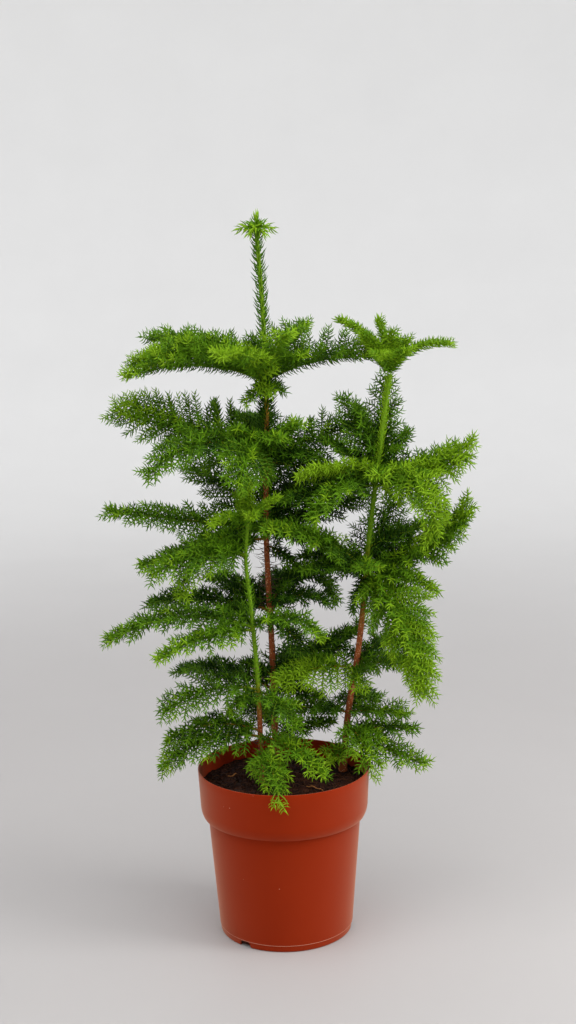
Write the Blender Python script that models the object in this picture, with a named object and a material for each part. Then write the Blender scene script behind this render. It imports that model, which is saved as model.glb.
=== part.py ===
"""Norfolk Island pine in a nursery pot: three young stems in one root ball, with boughs in tiers."""
import math
from collections import namedtuple

import bmesh
import bpy
import numpy as np
from mathutils import Vector
from mathutils.bvhtree import BVHTree

# The frame: origin at the middle of the pot's underside, +Z up, -Y the side the plant is seen from.
# All sizes are in metres and all angles in degrees.
CLEAR = 0.0003          # gap between pieces that meet
UP = np.array([0.0, 0.0, 1.0])

# Pot, turned about +Z
POT_HEIGHT = 0.2637
RIM_RADIUS = 0.1342
COLLAR_RADIUS = 0.1312  # at the collar's lower edge
COLLAR_LOW = 0.1985
BODY_TOP_RADIUS = 0.1186
BODY_TOP = 0.1790
BASE_RADIUS = 0.1045
BASE_ROUNDING = 0.0025
PARTING_LINE = 0.0105   # height of the fine step round the foot
PARTING_STEP = 0.0005
POT_WALL = 0.0020
FLOOR_THICKNESS = 0.0030
POT_SEGMENTS = 40
NOTCH_AZIMUTHS = (232.0, 352.0, 112.0)
NOTCH_WIDTH = 0.0230
NOTCH_TOP_WIDTH = 0.0150
NOTCH_HEIGHT = 0.0096
NOTCH_DEPTH = 0.0130
RIM_CHAMFER = 0.0008    # the rim's outer edge, across; it is half as much again in height

# Soil
SOIL_TOP = 0.2382
SOIL_CROWN = 0.0030     # the middle stands this much higher than the edge
SOIL_LEVEL_SHARE = 0.90 # the soil is level out to this share of its radius

# Stems: knots are height, x and y of the middle line, from the flat cut at the soil to the tip
Stem = namedtuple("Stem", "name foot_radius tip_radius knots")
ROOT_FLARE = 0.0018
FLARE_HEIGHT = 0.0120
STEM_SIDES = 8
STEM_RING_SPACING = 0.050
SIGHT = 0.05            # a limb's seat is sought from this far outside its stem
FOOT = SOIL_TOP + SOIL_CROWN + CLEAR
TALL = Stem("tall", 0.0050, 0.0032, (
    (FOOT, -0.0125, 0.055), (0.430, -0.0150, 0.055), (0.620, -0.0205, 0.055),
    (0.850, -0.0160, 0.055), (0.970, -0.0190, 0.055), (1.092, -0.0262, 0.055)))
LEANING = Stem("leaning", 0.0054, 0.0028, (
    (FOOT, 0.0945, 0.045), (0.336, 0.1040, 0.045), (0.430, 0.1198, 0.045),
    (0.645, 0.1430, 0.045), (0.872, 0.1730, 0.045)))
SHORT = Stem("short", 0.0043, 0.0024, (
    (FOOT, -0.0335, -0.010), (0.430, -0.0388, -0.010), (0.530, -0.0460, -0.010),
    (0.600, -0.0515, -0.010), (0.655, -0.0465, -0.010)))

# Boughs: one row each, from the top tier down.
# height on the stem, azimuth (0 is +X, 270 the side seen), length, rise where it leaves the stem,
# arch it bends down by, roll of its frond, lift of its sprays, their greatest reach and their droop
Bough = namedtuple("Bough", "name height azimuth length rise arch roll lift reach droop")
TALL_BOUGHS = (
    Bough("1_left", 0.863, 186, 0.218, 25, 45, -20, 42, 0.060, -15),
    Bough("1_back_left", 0.866, 150, 0.222, 31, 34, 0, 25, 0.055, -10),
    Bough("1_front_left", 0.862, 238, 0.135, 40, 40, 0, 20, 0.048, -10),
    Bough("1_front_right", 0.866, 300, 0.095, 62, 30, 0, 20, 0.045, -10),
    Bough("1_right", 0.863, 6, 0.172, 28, 36, 20, 38, 0.062, -15),
    Bough("1_back_right", 0.866, 60, 0.145, 45, 30, 0, 25, 0.050, -10),
    Bough("2_left", 0.746, 172, 0.250, 18, 3, -60, 8, 0.066, 0),
    Bough("2_front_left", 0.739, 212, 0.228, 40, 84, -30, 10, 0.056, 10),
    Bough("2_front", 0.748, 252, 0.150, 25, 72, -40, 0, 0.058, 25),
    Bough("2_front_right", 0.744, 320, 0.085, 55, 30, 0, 20, 0.045, 0),
    Bough("2_right", 0.747, 20, 0.170, 18, 8, 30, 10, 0.060, 0),
    Bough("2_back", 0.744, 100, 0.185, 30, 35, 0, 15, 0.055, 0),
    Bough("3_left", 0.629, 184, 0.247, 10, 3, -15, 12, 0.060, 20),
    Bough("3_back_left", 0.632, 140, 0.180, 45, 36, -20, 10, 0.058, 0),
    Bough("3_right", 0.631, 25, 0.185, 14, 4, 20, 12, 0.062, 0),
    Bough("3_back", 0.628, 85, 0.190, 50, 40, 0, 10, 0.058, 0),
    Bough("4_left", 0.501, 165, 0.203, 15, 29, -15, 12, 0.052, 10),
    Bough("4_back_left", 0.494, 128, 0.160, 32, 40, 0, 10, 0.050, 0),
    Bough("4_right", 0.500, 35, 0.176, 76, 160, 0, 20, 0.045, 0),
    Bough("4_back", 0.496, 80, 0.190, 28, 45, 0, 10, 0.058, 10),
    Bough("5_left", 0.370, 152, 0.180, 28, 50, 0, 10, 0.055, 10),
    Bough("5_right", 0.376, 25, 0.184, 17, -22, 0, 10, 0.050, 10),
    Bough("5_back", 0.370, 75, 0.175, 30, 50, 0, 10, 0.055, 10),
    Bough("6_right", 0.292, 12, 0.095, 18, 15, 0, 10, 0.040, 10),
    Bough("6_back", 0.300, 110, 0.140, 26, 40, 0, 10, 0.048, 10),
)
LEANING_BOUGHS = (
    Bough("2_left", 0.720, 148, 0.128, 68, 12, -20, 10, 0.045, 0),
    Bough("2_back", 0.718, 72, 0.155, 70, 10, 0, 10, 0.048, 0),
    Bough("2_right", 0.716, 30, 0.085, 52, 10, 0, 10, 0.042, 0),
    Bough("3_left", 0.711, 200, 0.130, 24, 39, 30, 5, 0.045, 20),
    Bough("3_right", 0.710, 352, 0.165, 3, -38, 30, 10, 0.046, 25),
    Bough("3_front_right", 0.707, 315, 0.188, 40, 158, 30, 0, 0.046, 30),
    Bough("3_front_left", 0.702, 218, 0.145, 25, 90, 0, 10, 0.050, 20),
    Bough("4_left", 0.565, 203, 0.195, 48, 45, -25, 10, 0.047, 35),
    Bough("4_right", 0.567, 0, 0.198, 7, -54, 20, 10, 0.056, 25),
    Bough("4_front_right", 0.564, 306, 0.228, -24, 55, 40, 0, 0.065, 30),
    Bough("4_back", 0.562, 60, 0.148, 50, 12, 0, 10, 0.055, 10),
    Bough("5_left", 0.407, 203, 0.135, 16, 36, -30, 5, 0.055, 45),
    Bough("5_right", 0.405, 345, 0.092, 30, 45, 0, 10, 0.045, 20),
    Bough("6_right", 0.337, 350, 0.090, 4, 13, 20, 20, 0.045, 0),
    Bough("6_left", 0.335, 190, 0.130, 18, 30, 0, 10, 0.050, 10),
    Bough("7_right", 0.291, 345, 0.133, -7, 16, 20, 10, 0.044, 20),
    Bough("7_front_right", 0.311, 294, 0.113, 9, 86, 0, 10, 0.045, 30),
    Bough("7_front_left", 0.276, 240, 0.050, 5, 30, 0, 10, 0.028, 10),
)
SHORT_BOUGHS = (
    Bough("2_left", 0.605, 196, 0.152, 12, 42, -30, 10, 0.055, 40),
    Bough("3_left", 0.490, 186, 0.230, 24, 54, -10, 10, 0.058, 20),
    Bough("3_front_left", 0.486, 212, 0.170, 9, 32, -10, 0, 0.038, 15),
    Bough("3_right", 0.490, 350, 0.122, 42, 100, 10, 5, 0.036, 20),
    Bough("4_left", 0.391, 193, 0.155, 18, 55, -20, 10, 0.058, 25),
    Bough("4_right", 0.388, 325, 0.085, -10, 50, 0, 10, 0.042, 25),
    Bough("5_left", 0.315, 190, 0.165, 16, 60, -20, 10, 0.058, 30),
    Bough("5_right", 0.315, 322, 0.130, 4, 45, 0, 10, 0.042, 15),
    Bough("6_front", 0.283, 282, 0.150, 26, 76, 0, 0, 0.050, 60),
)
FIRST_SPRAY = 0.10      # where sprays start and stop, as shares of the limb's length
LAST_SPRAY = 0.96
FORWARD_AT_ROOT = 76.0  # angle of a spray to the limb's direction at the limb's root
FORWARD_AT_TIP = 46.0
SPRAY_SPACING = 0.042   # along a bough, from one pair to the next
SHOOT_SPACING = 0.090   # along the shoots of a crown
SPRAY_HALF_WIDTH = 0.0155
SPRAY_THICKNESS = 0.0030
TOOTH_AT = 0.52         # a spray's outline: its teeth and the notches past them, as shares of its length
NOTCH_AT = 0.60
NOTCH_WIDTH_SHARE = 0.5
SPRAY_TWIST = 35.0
NEEDLE_REACH = 0.006    # needles carry a spray this far past its twig
PAIR_OFFSET = 0.2       # the two sprays of a pair stand this far apart from its middle, in pitches
TILT_SPREAD = 4.0
SIZE_SPREAD = 0.08
END_SPRAY = 0.022       # the spray that ends a limb starts this far before the limb's tip
SHORTER = (1.0, 0.8, 0.6)   # lengths tried in turn, as shares, where a spray would touch another node
NARROWEST = 0.55        # width a spray would keep at no length, as a share
RIDGE_AT = 0.45         # a spray is thickest here
LIMB_STEPS = 5
LIMB_RADIUS = 0.0012    # at the root of the shortest limb
LIMB_RADIUS_GAIN = 0.0036   # with each metre of length
TIP_RADIUS = 0.0007
FEWER = (0, 7, 4, 3, 2)     # a mass that doesn't join drops one spray in this many; 0 drops none

# Crown shoots: the young whorl that ends each stem, around a leader that carries the stem on
Shoot = namedtuple("Shoot", "azimuth rise arch length")
Crown = namedtuple("Crown", "leader shoots reach")
NECK = 0.004            # upright start of a crown's leader; the shoots leave it at three quarters
SHOOT_RADIUS = 0.0018
LEADER_SHARE = 0.8      # the leader is this much of the stem's tip
CROWNS = {
    "tall": Crown(Shoot(120, 86, 0, 0.020), (
        Shoot(186, 14, 46, 0.034), Shoot(232, -12, 40, 0.026), Shoot(262, 6, 20, 0.024),
        Shoot(318, -8, 50, 0.027), Shoot(352, 16, 50, 0.032), Shoot(60, 14, 40, 0.030),
        Shoot(128, 14, 40, 0.030)), 0.0),
    "leaning": Crown(Shoot(188, 80, 6, 0.080), (
        Shoot(183, 70, 50, 0.115), Shoot(358, 57, 70, 0.108), Shoot(255, 39, 40, 0.095),
        Shoot(75, 50, 30, 0.075), Shoot(300, 48, 30, 0.060), Shoot(150, 55, 30, 0.066)), 0.024),
    "short": Crown(Shoot(60, 84, 0, 0.058), (
        Shoot(218, 30, 60, 0.072), Shoot(342, 42, 10, 0.060), Shoot(120, 48, 0, 0.046),
        Shoot(280, 35, 40, 0.045)), 0.018),
}


def clear_scene():
    for obj in list(bpy.data.objects):
        bpy.data.objects.remove(obj, do_unlink=True)


def material(name, color, roughness):
    """A plain finish from an sRGB colour in 0 to 255."""
    mat = bpy.data.materials.new(name)
    mat.use_nodes = True
    shader = mat.node_tree.nodes["Principled BSDF"]
    linear = [((c / 255 + 0.055) / 1.055) ** 2.4 for c in color]
    shader.inputs["Base Color"].default_value = (*linear, 1.0)
    shader.inputs["Roughness"].default_value = roughness
    shader.inputs["Metallic"].default_value = 0.0
    return mat


def add_object(name, mesh, mat, collection=None):
    """An object of this mesh, in the scene or in a collection."""
    mesh.materials.clear()
    mesh.materials.append(mat)
    obj = bpy.data.objects.new(name, mesh)
    (collection or bpy.context.scene.collection).objects.link(obj)
    return obj


def mesh_from(name, points, faces):
    """A mesh whose faces are turned outward."""
    bm = bmesh.new()
    verts = [bm.verts.new(p) for p in points]
    for face in faces:
        bm.faces.new([verts[i] for i in face])
    bmesh.ops.recalc_face_normals(bm, faces=bm.faces)
    mesh = bpy.data.meshes.new(name)
    bm.to_mesh(mesh)
    bm.free()
    return mesh


def turned(name, profile, segments):
    """A solid turned about +Z from a profile of radius and height that starts and ends on the axis."""
    bm = bmesh.new()
    line = [bm.verts.new((r, 0.0, z)) for r, z in profile]
    edges = [bm.edges.new(pair) for pair in zip(line, line[1:])]
    bmesh.ops.spin(bm, geom=line + edges, cent=(0, 0, 0), axis=(0, 0, 1),
                   angle=2 * math.pi, steps=segments)
    bmesh.ops.remove_doubles(bm, verts=bm.verts, dist=1e-6)
    bmesh.ops.recalc_face_normals(bm, faces=bm.faces)
    mesh = bpy.data.meshes.new(name)
    bm.to_mesh(mesh)
    bm.free()
    return mesh


def shade_smooth(mesh, degrees=35.0):
    mesh.shade_smooth()
    mesh.set_sharp_from_angle(angle=math.radians(degrees))


def arc(centre, radius, start, end, count):
    """Points of a profile on an arc, from one angle to another."""
    angles = np.radians(np.linspace(start, end, count))
    return [(centre[0] + radius * math.cos(a), centre[1] + radius * math.sin(a)) for a in angles]


def body_radius(z):
    """Outer radius of the pot's tapering body at a height."""
    share = z / BODY_TOP
    return BASE_RADIUS + (BODY_TOP_RADIUS - BASE_RADIUS) * share


def pot_outside():
    """The pot's outer profile, from the middle of its underside to the rim."""
    foot = arc((BASE_RADIUS - PARTING_STEP - BASE_ROUNDING, BASE_ROUNDING), BASE_ROUNDING, -90, 0, 3)
    line = [(body_radius(PARTING_LINE) - PARTING_STEP, PARTING_LINE),
            (body_radius(PARTING_LINE), PARTING_LINE + PARTING_STEP)]
    step = COLLAR_RADIUS - BODY_TOP_RADIUS
    bend = COLLAR_LOW - BODY_TOP
    shoulder = [(BODY_TOP_RADIUS, BODY_TOP)]
    for a in (30, 60, 90):
        shoulder.append((BODY_TOP_RADIUS + step * math.sin(math.radians(a)),
                         COLLAR_LOW - bend * math.cos(math.radians(a))))
    rim = [(RIM_RADIUS, POT_HEIGHT - 1.5 * RIM_CHAMFER), (RIM_RADIUS - RIM_CHAMFER, POT_HEIGHT)]
    return [(0.0, 0.0)] + foot + line + shoulder + rim


def pot_inside():
    """The pot's inner profile, from the rim down to the middle of its floor."""
    wall = POT_WALL
    return [(RIM_RADIUS - wall, POT_HEIGHT), (COLLAR_RADIUS - wall, COLLAR_LOW),
            (BODY_TOP_RADIUS - wall, BODY_TOP - wall),
            (body_radius(FLOOR_THICKNESS) - PARTING_STEP - wall, FLOOR_THICKNESS),
            (0.0, FLOOR_THICKNESS)]


def notch_cutter(azimuth):
    """A wedge that leaves a drain notch in the edge of the pot's foot."""
    half, top = NOTCH_WIDTH / 2, NOTCH_TOP_WIDTH / 2
    inner, outer = BASE_RADIUS - NOTCH_DEPTH, RIM_RADIUS
    low = -FLOOR_THICKNESS
    section = [(-half, low), (half, low), (top, NOTCH_HEIGHT), (-top, NOTCH_HEIGHT)]
    turn = math.radians(azimuth)
    points = []
    for r in (inner, outer):
        for across, z in section:
            points.append((r * math.cos(turn) - across * math.sin(turn),
                           r * math.sin(turn) + across * math.cos(turn), z))
    faces = [(0, 1, 2, 3), (7, 6, 5, 4)] + [(i, i + 4, (i + 1) % 4 + 4, (i + 1) % 4) for i in range(4)]
    return mesh_from("notch_cutter", points, faces)


def make_pot(mat):
    """The nursery pot, open at the top, with its foot notched for drainage."""
    pot = add_object("pot", turned("pot", pot_outside() + pot_inside(), POT_SEGMENTS), mat)
    for azimuth in NOTCH_AZIMUTHS:
        cutter = add_object("notch_cutter", notch_cutter(azimuth), mat)
        cut = pot.modifiers.new("notch", "BOOLEAN")
        cut.operation = "DIFFERENCE"
        cut.object = cutter
        apply_modifiers(pot)
        bpy.data.objects.remove(cutter)
    shade_smooth(pot.data)
    return pot


def make_soil(mat):
    """The root ball: it fills the pot up to a slightly crowned top."""
    gap = POT_WALL + CLEAR
    top_share = (SOIL_TOP - COLLAR_LOW) / (POT_HEIGHT - COLLAR_LOW)
    top_radius = COLLAR_RADIUS + (RIM_RADIUS - COLLAR_RADIUS) * top_share - gap
    floor = FLOOR_THICKNESS + CLEAR
    profile = [(0.0, floor), (body_radius(floor) - PARTING_STEP - gap - CLEAR, floor),
               (BODY_TOP_RADIUS - gap - CLEAR, BODY_TOP - POT_WALL),
               (COLLAR_RADIUS - gap, COLLAR_LOW + CLEAR), (top_radius, SOIL_TOP),
               (top_radius * SOIL_LEVEL_SHARE, SOIL_TOP + SOIL_CROWN), (0.0, SOIL_TOP + SOIL_CROWN)]
    soil = add_object("soil", turned("soil", profile, POT_SEGMENTS), mat)
    shade_smooth(soil.data)
    return soil


def apply_modifiers(obj):
    """Makes an object's evaluated shape its own mesh."""
    graph = bpy.context.evaluated_depsgraph_get()
    graph.update()
    shaped = bpy.data.meshes.new_from_object(obj.evaluated_get(graph))
    obj.modifiers.clear()
    obj.data = shaped


def stem_point(stem, z):
    """The point of a stem's smooth middle line at a height."""
    knots = np.array(stem.knots)
    heights = knots[:, 0]
    slopes = np.gradient(knots[:, 1:], heights, axis=0)
    i = int(np.clip(np.searchsorted(heights, z) - 1, 0, len(heights) - 2))
    span = heights[i + 1] - heights[i]
    t = (z - heights[i]) / span
    across = (knots[i, 1:] * (2 * t**3 - 3 * t**2 + 1) + slopes[i] * span * (t**3 - 2 * t**2 + t)
              + knots[i + 1, 1:] * (3 * t**2 - 2 * t**3) + slopes[i + 1] * span * (t**3 - t**2))
    return np.array([across[0], across[1], z])


def stem_radius(stem, z):
    """Radius of a stem at a height: an even taper, and a flare at the foot."""
    top = stem.knots[-1][0]
    share = (z - FOOT) / (top - FOOT)
    flare = ROOT_FLARE * math.exp(-(z - FOOT) / FLARE_HEIGHT)
    return stem.foot_radius + (stem.tip_radius - stem.foot_radius) * share + flare


def tube(name, rings):
    """A closed tube through rings that all have the same number of points."""
    sides = len(rings[0])
    points = [tuple(p) for ring in rings for p in ring]
    faces = [tuple(range(sides))]
    for r in range(len(rings) - 1):
        for i in range(sides):
            j = (i + 1) % sides
            faces.append((r * sides + i, r * sides + j, (r + 1) * sides + j, (r + 1) * sides + i))
    faces.append(tuple(range((len(rings) - 1) * sides, len(rings) * sides)))
    return mesh_from(name, points, faces)


def make_stem(stem, mat):
    """One whole stem, from a flat cut at the soil up through its foliage to its tip."""
    top = stem.knots[-1][0]
    flare = [FOOT, FOOT + 0.3 * FLARE_HEIGHT, FOOT + FLARE_HEIGHT, FOOT + 3 * FLARE_HEIGHT]
    count = int((top - flare[-1]) / STEM_RING_SPACING) + 1
    heights = flare + list(np.linspace(flare[-1], top, count + 1)[1:])
    rings = []
    for z in heights:
        middle = stem_point(stem, z)
        radius = stem_radius(stem, z)
        angles = np.arange(STEM_SIDES) * 2 * math.pi / STEM_SIDES
        rings.append([middle + radius * np.array([math.cos(a), math.sin(a), 0]) for a in angles])
    obj = add_object(f"{stem.name}_stem", tube(f"{stem.name}_stem", rings), mat)
    shade_smooth(obj.data, 60)
    return obj


def heading(azimuth, elevation):
    a, e = math.radians(azimuth), math.radians(elevation)
    return np.array([math.cos(a) * math.cos(e), math.sin(a) * math.cos(e), math.sin(e)])


def limb_line(start, azimuth, rise, arch, length, steps):
    """Points along a limb that leaves at one elevation and bends down evenly."""
    points = [np.array(start)]
    for i in range(steps):
        share = (i + 0.5) / steps
        points.append(points[-1] + heading(azimuth, rise - arch * share) * length / steps)
    return points


def point_on(line, share):
    """Place and direction at a share of a line's length."""
    along = min(max(share, 0.0), 1.0) * (len(line) - 1)
    i = min(int(along), len(line) - 2)
    step = line[i + 1] - line[i]
    return line[i] + step * (along - i), step / np.linalg.norm(step)


def frond_axes(direction, roll):
    """Side and upward directions of a frond, turned by its roll about the limb."""
    side = np.cross(UP, direction)
    if np.linalg.norm(side) < 0.05:
        side = np.cross((0.0, 1.0, 0.0), direction)
    side /= np.linalg.norm(side)
    up = np.cross(direction, side)
    r = math.radians(roll)
    return math.cos(r) * side + math.sin(r) * up, math.cos(r) * up - math.sin(r) * side


def spray_length(share, reach):
    """Sprays are longest a quarter of the way out, and shorten to the tip."""
    return reach * min(1.0, 0.55 + 1.8 * share) * (1 - 0.68 * share**2)


def spray_ends(line, length, spacing, roll, lift, reach, droop, rng):
    """Root, tip and twist of the sprays along a limb: pairs, and one that ends it."""
    pairs = max(1, round(length * (LAST_SPRAY - FIRST_SPRAY) / spacing))
    pitch = (LAST_SPRAY - FIRST_SPRAY) / pairs
    ends = []
    for k in range(pairs):
        for side in (1, -1):
            share = FIRST_SPRAY + pitch * (k + 0.5 + PAIR_OFFSET * side)
            root, direction = point_on(line, share)
            across, up = frond_axes(direction, roll)
            forward = math.radians(FORWARD_AT_ROOT + (FORWARD_AT_TIP - FORWARD_AT_ROOT) * share)
            tilt = math.radians(lift + rng.normal(0, TILT_SPREAD))
            way = (math.cos(forward) * direction
                   + math.sin(forward) * (side * math.cos(tilt) * across + math.sin(tilt) * up))
            size = spray_length(share, reach) * rng.uniform(1 - SIZE_SPREAD, 1 + SIZE_SPREAD)
            size += NEEDLE_REACH
            drop = math.radians(droop) / 2
            down = -UP + UP.dot(way) * way
            way = math.cos(drop) * way + math.sin(drop) * down / np.linalg.norm(down)
            ends.append((root, root + size * way, side * SPRAY_TWIST))
    root, direction = point_on(line, 1.0)
    ends.append((root - END_SPRAY * direction, root + NEEDLE_REACH * direction, 0.0))
    return ends


def blade(root, tip, half_width, thickness, twist):
    """Points and faces of a toothed blade, thickest at its middle, with its root sunk in."""
    axis = tip - root
    length = np.linalg.norm(axis)
    axis = axis / length
    across, up = frond_axes(axis, twist)
    side = [(TOOTH_AT, half_width), (NOTCH_AT, half_width * NOTCH_WIDTH_SHARE)]
    outline = [(0.0, 0.0)] + side + [(1.0, 0.0)] + [(x, -y) for x, y in reversed(side)]
    points = [root + axis * length * x + across * y for x, y in outline]
    middle = root + axis * length * RIDGE_AT
    points += [middle + up * thickness / 2, middle - up * thickness / 2]
    n = len(outline)
    faces = [(i, (i + 1) % n, n) for i in range(n)] + [((i + 1) % n, i, n + 1) for i in range(n)]
    return points, faces


def triangles_of(mesh):
    """Points and triangles of a mesh."""
    mesh.calc_loop_triangles()
    return [v.co for v in mesh.vertices], [tuple(t.vertices) for t in mesh.loop_triangles]


class Space:
    """The room that pieces already take, so that a new spray keeps clear of other nodes."""

    def __init__(self):
        self.pieces = []

    def add(self, node, points, faces):
        points = np.array([tuple(p) for p in points])
        tree = BVHTree.FromPolygons([Vector(p) for p in points], faces)
        self.pieces.append((node, points.min(0), points.max(0), tree))

    def hits(self, node, points, faces):
        """The name of another node that these faces touch, or an empty string."""
        points = np.array([tuple(p) for p in points])
        low, high = points.min(0), points.max(0)
        tree = None
        for other, other_low, other_high, other_tree in self.pieces:
            if other == node or (low > other_high).any() or (high < other_low).any():
                continue
            if tree is None:
                tree = BVHTree.FromPolygons([Vector(p) for p in points], faces)
            if tree.overlap(other_tree):
                return other
        return ""


def limb_rings(line, root_radius, upright_root):
    """Three-sided rings along a limb; the first is upright where it faces a stem."""
    rings = []
    for i, middle in enumerate(line):
        direction = line[min(i + 1, len(line) - 1)] - line[max(i - 1, 0)]
        if i == 0 and upright_root:
            direction = direction * (1, 1, 0)
        across, up = frond_axes(direction / np.linalg.norm(direction), 0)
        radius = root_radius + (TIP_RADIUS - root_radius) * i / (len(line) - 1)
        turns = [math.radians(90 + 120 * k) for k in range(3)]
        rings.append([middle + radius * (math.cos(t) * across + math.sin(t) * up) for t in turns])
    return rings


def limb_radius(length):
    return LIMB_RADIUS + LIMB_RADIUS_GAIN * length


class Mass:
    """One node of foliage: a limb, or the shoots of a crown, and the sprays that grow on them."""

    def __init__(self, name, limbs, sprays):
        self.name = name
        self.limbs = limbs
        self.sprays = sprays
        self.kept = []


def seat_on_stem(stem, stem_tree, height, azimuth, radius):
    """The point just clear of a stem's surface where a limb of this radius starts."""
    out = heading(azimuth, 0)
    middle = stem_point(stem, height)
    surface = stem_tree.ray_cast(Vector(middle + out * SIGHT), Vector(-out))[0]
    lean = abs((stem_point(stem, height + radius) - middle).dot(out))
    return np.array(surface) + out * (CLEAR + lean)


def bough_mass(stem, stem_tree, bough, index):
    """A bough whose root stands just clear of its stem."""
    rng = np.random.default_rng(100 + index)
    start = seat_on_stem(stem, stem_tree, bough.height, bough.azimuth, limb_radius(bough.length))
    line = limb_line(start, bough.azimuth, bough.rise, bough.arch, bough.length, LIMB_STEPS)
    name = f"{stem.name}_{bough.name}"
    limb = tube(name, limb_rings(line, limb_radius(bough.length), True))
    sprays = spray_ends(line, bough.length, SPRAY_SPACING, bough.roll, bough.lift, bough.reach,
                        bough.droop, rng)
    return Mass(name, [limb], sprays)


def crown_mass(stem, crown, index):
    """The whorl of shoots on a stem's tip: its leader carries on from the stem, just clear of it."""
    rng = np.random.default_rng(300 + index)
    name = f"{stem.name}_crown"
    base = stem_point(stem, stem.knots[-1][0]) + UP * CLEAR
    leader = [base, base + UP * NECK]
    leader += limb_line(leader[-1], *crown.leader, 3)[1:]
    limbs = [tube(name, limb_rings(leader, stem.tip_radius * LEADER_SHARE, False))]
    sprays = []
    if crown.reach:
        sprays += spray_ends(leader, crown.leader.length, SHOOT_SPACING, 0, 20, crown.reach, 0, rng)
    else:
        sprays.append((leader[1], leader[-1] + UP * NEEDLE_REACH, 0.0))
    for shoot in crown.shoots:
        line = limb_line(base + UP * NECK * 0.75, shoot.azimuth, shoot.rise, shoot.arch,
                         shoot.length, LIMB_STEPS - 1)
        if crown.reach:
            limbs.append(tube(name, limb_rings(line, SHOOT_RADIUS, False)))
            sprays += spray_ends(line, shoot.length, SHOOT_SPACING, 0, 25, crown.reach, 0, rng)
        else:
            sprays.append((line[0], line[-1] + NEEDLE_REACH * heading(shoot.azimuth, 0), 20.0))
    return Mass(name, limbs, sprays)


def place_sprays(masses, space):
    """Gives each mass the sprays that stay clear of every other node, one at a time in turn."""
    for turn in range(max(len(mass.sprays) for mass in masses)):
        for mass in masses:
            if turn >= len(mass.sprays):
                continue
            root, tip, twist = mass.sprays[turn]
            for share in SHORTER:
                end = root + (tip - root) * share
                width = SPRAY_HALF_WIDTH * (NARROWEST + (1 - NARROWEST) * share)
                size = (width + 2 * CLEAR, SPRAY_THICKNESS + 3 * CLEAR, twist)
                reach = 2 * CLEAR * (end - root) / np.linalg.norm(end - root)
                if not space.hits(mass.name, *blade(root, end + reach, *size)):
                    solid = blade(root, end, width, SPRAY_THICKNESS, twist)
                    mass.kept.append(solid)
                    space.add(mass.name, *solid)
                    break


def body_count(mesh):
    """Number of separate bodies in a mesh, or 0 if it isn't closed."""
    bm = bmesh.new()
    bm.from_mesh(mesh)
    closed = all(len(e.link_faces) == 2 for e in bm.edges)
    seen, bodies = set(), 0
    for vert in bm.verts:
        if vert in seen:
            continue
        bodies += 1
        queue = [vert]
        seen.add(vert)
        while queue:
            for edge in queue.pop().link_edges:
                for other in edge.verts:
                    if other not in seen:
                        seen.add(other)
                        queue.append(other)
    bm.free()
    return bodies if closed else 0


def united(mass, solids, mat, solver):
    """One Boolean union of a mass's limbs and sprays."""
    group = bpy.data.collections.new(mass.name)
    bpy.context.scene.collection.children.link(group)
    base = add_object(mass.name, mass.limbs[0].copy(), mat)
    others = [limb.copy() for limb in mass.limbs[1:]]
    others += [mesh_from(mass.name, points, faces) for points, faces in solids]
    for mesh in others:
        add_object("spray", mesh, mat, group)
    union = base.modifiers.new("union", "BOOLEAN")
    union.operation = "UNION"
    union.operand_type = "COLLECTION"
    union.collection = group
    union.solver = solver
    apply_modifiers(base)
    for obj in list(group.objects):
        bpy.data.objects.remove(obj)
    bpy.data.collections.remove(group)
    return base


def make_mass(mass, mat):
    """The mass as one solid; one that fails to join gets fewer sprays."""
    for skip in FEWER:
        solids = [s for i, s in enumerate(mass.kept) if not skip or i % skip != skip - 1]
        for solver in ("EXACT", "MANIFOLD"):
            obj = united(mass, solids, mat, solver)
            if body_count(obj.data) == 1:
                obj.data.materials.clear()
                obj.data.materials.append(mat)
                return obj
            bpy.data.objects.remove(obj)
    raise RuntimeError(f"{mass.name} doesn't join into one solid")


def main():
    clear_scene()
    plastic = material("terracotta_plastic", (166, 62, 32), 0.45)
    peat = material("peat", (52, 34, 24), 0.95)
    bark = material("young_bark", (124, 74, 50), 0.80)
    needles = material("pine_needles", (82, 138, 38), 0.60)

    space = Space()
    for obj in (make_pot(plastic), make_soil(peat)):
        space.add(obj.name, *triangles_of(obj.data))
    masses = []
    for stem, boughs in ((TALL, TALL_BOUGHS), (LEANING, LEANING_BOUGHS), (SHORT, SHORT_BOUGHS)):
        obj = make_stem(stem, bark)
        points, faces = triangles_of(obj.data)
        space.add(obj.name, points, faces)
        tree = BVHTree.FromPolygons(points, faces)
        masses += [bough_mass(stem, tree, bough, len(masses) + i) for i, bough in enumerate(boughs)]
        masses.append(crown_mass(stem, CROWNS[stem.name], len(masses)))
    touching = []
    for mass in masses:
        for limb in mass.limbs:
            points, faces = triangles_of(limb)
            touched = space.hits(mass.name, points, faces)
            if touched:
                touching.append(f"{mass.name} and {touched}")
            space.add(mass.name, points, faces)
    if touching:
        raise RuntimeError("limbs that touch: " + ", ".join(touching))
    place_sprays(masses, space)
    for mass in masses:
        make_mass(mass, needles)


main()
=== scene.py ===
"""Norfolk Island pine in a nursery pot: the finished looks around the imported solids, as an add-on."""
import math
from collections import namedtuple

import bmesh
import bpy
import numpy as np
from bpy.props import FloatProperty, FloatVectorProperty, IntProperty, PointerProperty, StringProperty
from mathutils import Matrix, Vector, noise
from mathutils.bvhtree import BVHTree


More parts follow.
